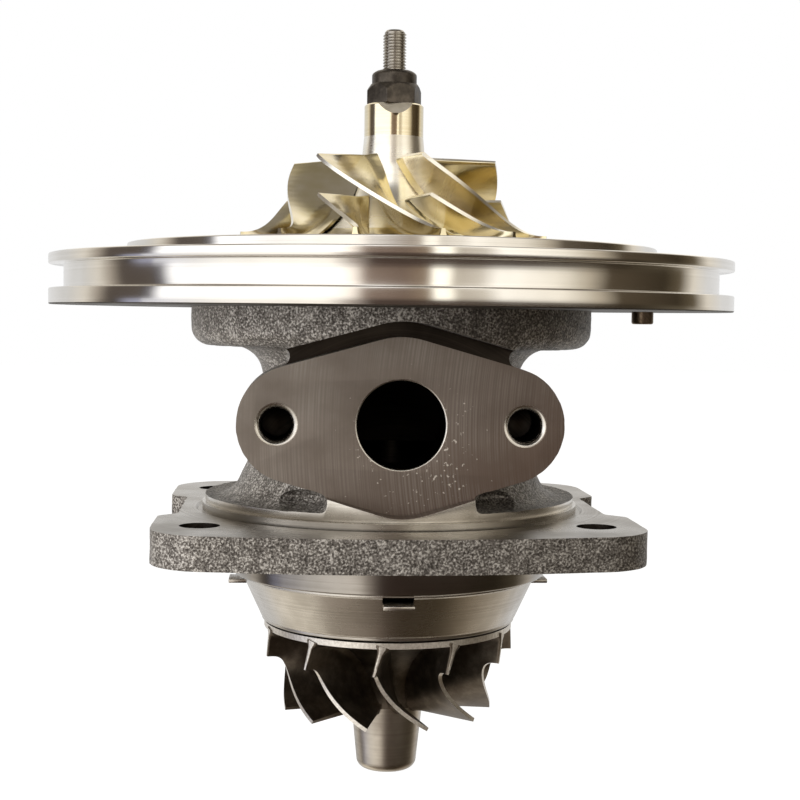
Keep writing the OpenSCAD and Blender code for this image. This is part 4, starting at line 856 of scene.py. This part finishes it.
rim_u = math.asin((TURB_R - TURB_RIM_R) / (TURB_R - TURB_HUB_R)) / (math.pi / 2)
hub = turned(
    [(0, WELD_Z), (TURB_BOSS_R, WELD_Z), (TURB_BOSS_R, TURB_BACK_Z), (TURB_RIM_R, TURB_BACK_Z)]
    + [turbine_hub(rim_u + (1 - rim_u) * i / 24) for i in range(25)]
    + [(TURB_HUB_R, TURB_EXIT_Z - 1.5)]
    + arc(TURB_NOSE_R - TURB_NOSE_ROUND, TURB_NOSE_Z + TURB_NOSE_ROUND, TURB_NOSE_ROUND, 0, -90, 8)
    + [(0, TURB_NOSE_Z)], 128)
for face in hub.faces:
    centre = face.calc_center_median()
    on_rim = math.hypot(centre.x, centre.y) > TURB_RIM_R - 0.1
    face.material_index = 1 if on_rim else 2 if centre.z < TURB_HUB_Z - 0.2 else 0
blades = ringed(bladed(turbine_camber, span_steps=14, chord_steps=48, first=0.0, root_t=1.15, tip_t=0.62,
                       fillet=0.5, nose=0.3, blunt=0.5, tip_finish=1), TURB_BLADES, TURB_PHASE)
turbine = settled("turbine_wheel_cast", joined(hub, blades), [cast_alloy, ground_tip, nose_alloy], sharp=38)
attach(turbine, "rotor")
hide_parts("turbine_wheel")

# Compressor wheel: milled from a forged aluminium billet with a champagne finish, six full blades
# and six splitters. The nose is turned bright, and a balance cut is milled in its edge.
COMP_R, COMP_BACK_Z, COMP_EXIT_Z, COMP_EXIT_B, COMP_BOSS_Z, COMP_BOSS_R = 26.0, 47.8, 48.6, 2.2, 46.8, 6.0
COMP_TIP_Z, INDUCER_R, COMP_ROOT_Z, COMP_NOSE_R, COMP_TOP_Z = 63.0, 17.4, 63.7, 4.95, 72.6
COMP_BLADES, COMP_WRAP, COMP_PHASE, SPLITTER_U, COMP_CURVE, COMP_TURN = 6, 62.0, -138.4, 0.31, 0.85, 2.1
BRIGHT_Z, FLARE, FLARE_R = 67.2, 0.35, 13.95
ALLOY, EDGE, NOSE, SCOOP, SHADE = range(5)
# Milled alloy with a champagne finish: pale gold, with faint cusps left by the ball cutter.
milled_alloy, tree, shader, place = metal("milled_champagne_alloy")
swirl = add(tree, "TexNoise", {"Vector": place, "Scale": per_mm(5.0), "Detail": 2.0})
cusps = add(tree, "TexWave", {"Vector": place, "Scale": per_mm(0.9) * math.pi / 10, "Distortion": 2.0,
                              "Detail": 1.0}, wave_type="BANDS", bands_direction="Z")
tone = add(tree, "ValToRGB", {"Fac": swirl.outputs["Fac"]}, stops=[
    (0.3, paint("#d8cba2")), (0.5, paint("#e0d5b5")), (0.7, paint("#e9e0c9"))])
matt = add(tree, "MapRange", {"Value": swirl.outputs["Fac"], "To Min": 0.12, "To Max": 0.22})
bump = add(tree, "Bump", {"Height": cusps.outputs["Fac"], "Strength": 0.12, "Distance": 0.03 * MM})
fill(shader, {"Base Color": tone.outputs["Color"], "Roughness": matt.outputs["Result"],
              "Normal": bump.outputs["Normal"]})
# Bare alloy: bright satin on the hub and blade edges, near a mirror on the nose, and grey in the
# balance cut, with a dark lip along it that is painted shade.
bright_edge = lathe_metal("bright_edge_alloy", "#faf7ee", "#efe9da", 0.26, 0.5, 0.02)
bright_nose = lathe_metal("bright_turned_alloy", "#ece2c8", "#dccfae", 0.13, 0.5, 0.01, 12.0)
scooped = lathe_metal("rough_milled_alloy", "#d9d2c4", "#bcb4a5", 0.45, 0.5, 0.02, 1.5)
shaded = lathe_metal("balance_cut_painted_shade", "#5d5242", "#4a4033", 0.5, 0.5, 0.02, 1.5)


def wheel_hub(u):
    """Radius and height of the hub's line, from the nose (0) to the rim (1)."""
    turn = math.pi / 2 * u
    return (COMP_R - (COMP_R - COMP_NOSE_R - FLARE) * math.cos(turn),
            COMP_ROOT_Z - (COMP_ROOT_Z - COMP_EXIT_Z) * math.sin(turn))


def wheel_camber(u, v):
    """Point in the middle of a blade: u from inlet to rim, v from hub to tip."""
    turn = math.pi / 2 * u
    shroud = (COMP_R - (COMP_R - INDUCER_R) * max(0.0, math.cos(turn)) ** COMP_CURVE,
              COMP_TIP_Z - (COMP_TIP_Z - COMP_EXIT_Z - COMP_EXIT_B) * math.sin(turn) ** COMP_CURVE)
    hub = wheel_hub(u)
    return meridian(hub[0] + (shroud[0] - hub[0]) * v, hub[1] + (shroud[1] - hub[1]) * v,
                    COMP_WRAP * (1 - (1 - u) ** COMP_TURN))


hub = turned(
    [(STUB_R + 0.02, COMP_BOSS_Z), (COMP_BOSS_R, COMP_BOSS_Z), (COMP_BOSS_R, COMP_BACK_Z),
     (COMP_R, COMP_BACK_Z)]
    + [wheel_hub(1 - i / 28) for i in range(29)]
    + [(COMP_NOSE_R, BRIGHT_Z), (COMP_NOSE_R, COMP_TOP_Z - 2.5), (COMP_NOSE_R, COMP_TOP_Z - 0.25),
       (COMP_NOSE_R - 0.25, COMP_TOP_Z), (STUB_R + 0.02, COMP_TOP_Z)], 160)
for face in hub.faces:
    centre = face.calc_center_median()
    flared = math.hypot(centre.x, centre.y) < FLARE_R and centre.z > COMP_BACK_Z + 2
    face.material_index = NOSE if centre.z > BRIGHT_Z else EDGE if flared else ALLOY
wheel_finishes = [milled_alloy, bright_edge, bright_nose, scooped, shaded]
# The first, shallow cut leaves a thin dark lip below the scoop: painted shade.
for depth, height, number in ((0.16, 2.25, SHADE), (1.0, 1.9, SCOOP)):
    balance = box((-COMP_NOSE_R, -2, -0.2), (COMP_NOSE_R, 0, 2 * height))
    spun(balance, -math.degrees(math.atan2(depth, height)), "X")
    moved(balance, (0, -COMP_NOSE_R, COMP_TOP_Z - height))
    hub = cut(hub, balance, number, wheel_finishes)
full = ringed(bladed(wheel_camber, span_steps=14, chord_steps=48, first=0.0, root_t=1.15, tip_t=0.6,
                     fillet=0.9, nose=0.5, blunt=0.7, tip_finish=EDGE), COMP_BLADES, COMP_PHASE)
splitters = ringed(bladed(wheel_camber, span_steps=12, chord_steps=40, first=SPLITTER_U, root_t=1.15,
                          tip_t=0.6, fillet=0.8, nose=0.5, blunt=0.7, tip_finish=EDGE),
                   COMP_BLADES, COMP_PHASE + 180 / COMP_BLADES)
compressor = settled("compressor_wheel_milled", joined(hub, full, splitters), wheel_finishes, sharp=22)
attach(compressor, "rotor")
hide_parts("compressor_wheel")

# Shaft nut: a steel hexagon with a round locking collar, black from its oxide bath and screwed down on
# the wheel's nose. The real thread is left-handed, which doesn't show.
NUT_AF, NUT_TURN, HEX_TOP_Z, NUT_COLLAR_R, NUT_TOP_Z, NUT_CROWN = 8.2, -108.4, 76.0, 3.75, 78.3, 1.2
HEX_EDGE, COLLAR_ROUND, NUT_FIT = 0.16, 0.3, 0.05
corner_r = NUT_AF / 2 / math.cos(math.pi / 6)
hexagon = bmesh.new()
bmesh.ops.create_cone(hexagon, cap_ends=True, segments=6, radius1=corner_r, radius2=corner_r,
                      depth=HEX_TOP_Z - COMP_TOP_Z)
bmesh.ops.bevel(hexagon, geom=[e for e in hexagon.edges if abs(e.verts[0].co.z - e.verts[1].co.z) > 1],
                offset=HEX_EDGE, segments=2, affect="EDGES", profile=0.5, material=-1)
spun(hexagon, NUT_TURN + 90)
moved(hexagon, (0, 0, (HEX_TOP_Z + COMP_TOP_Z) / 2))
chamfers = turned([(0, COMP_TOP_Z), (corner_r - 0.2, COMP_TOP_Z), (corner_r, COMP_TOP_Z + 0.2),
                   (corner_r, HEX_TOP_Z - NUT_CROWN), (NUT_COLLAR_R + 0.2, HEX_TOP_Z), (0, HEX_TOP_Z)], 96)
nut_finishes = [oxide_steel]
hexagon = cut(hexagon, chamfers, 0, nut_finishes, "INTERSECT")
collar = turned([(0, COMP_TOP_Z + 1), (NUT_COLLAR_R, COMP_TOP_Z + 1), (NUT_COLLAR_R, NUT_TOP_Z - 0.55),
                 (THREAD_R + 0.95, NUT_TOP_Z), (0, NUT_TOP_Z)], 96, fillet=COLLAR_ROUND)
hexagon = cut(hexagon, collar, 0, nut_finishes, "UNION")
nut_bore = turned([(0, COMP_TOP_Z - OVERRUN), (THREAD_R + NUT_FIT, COMP_TOP_Z - OVERRUN),
                   (THREAD_R + NUT_FIT, NUT_TOP_Z - 0.4), (THREAD_R + 0.9, NUT_TOP_Z + 0.5),
                   (0, NUT_TOP_Z + 0.5)], 64)
hexagon = cut(hexagon, nut_bore, 0, nut_finishes)
nut = settled("shaft_lock_nut", hexagon, nut_finishes, sharp=25)
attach(nut, "rotor")
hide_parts("shaft_nut")
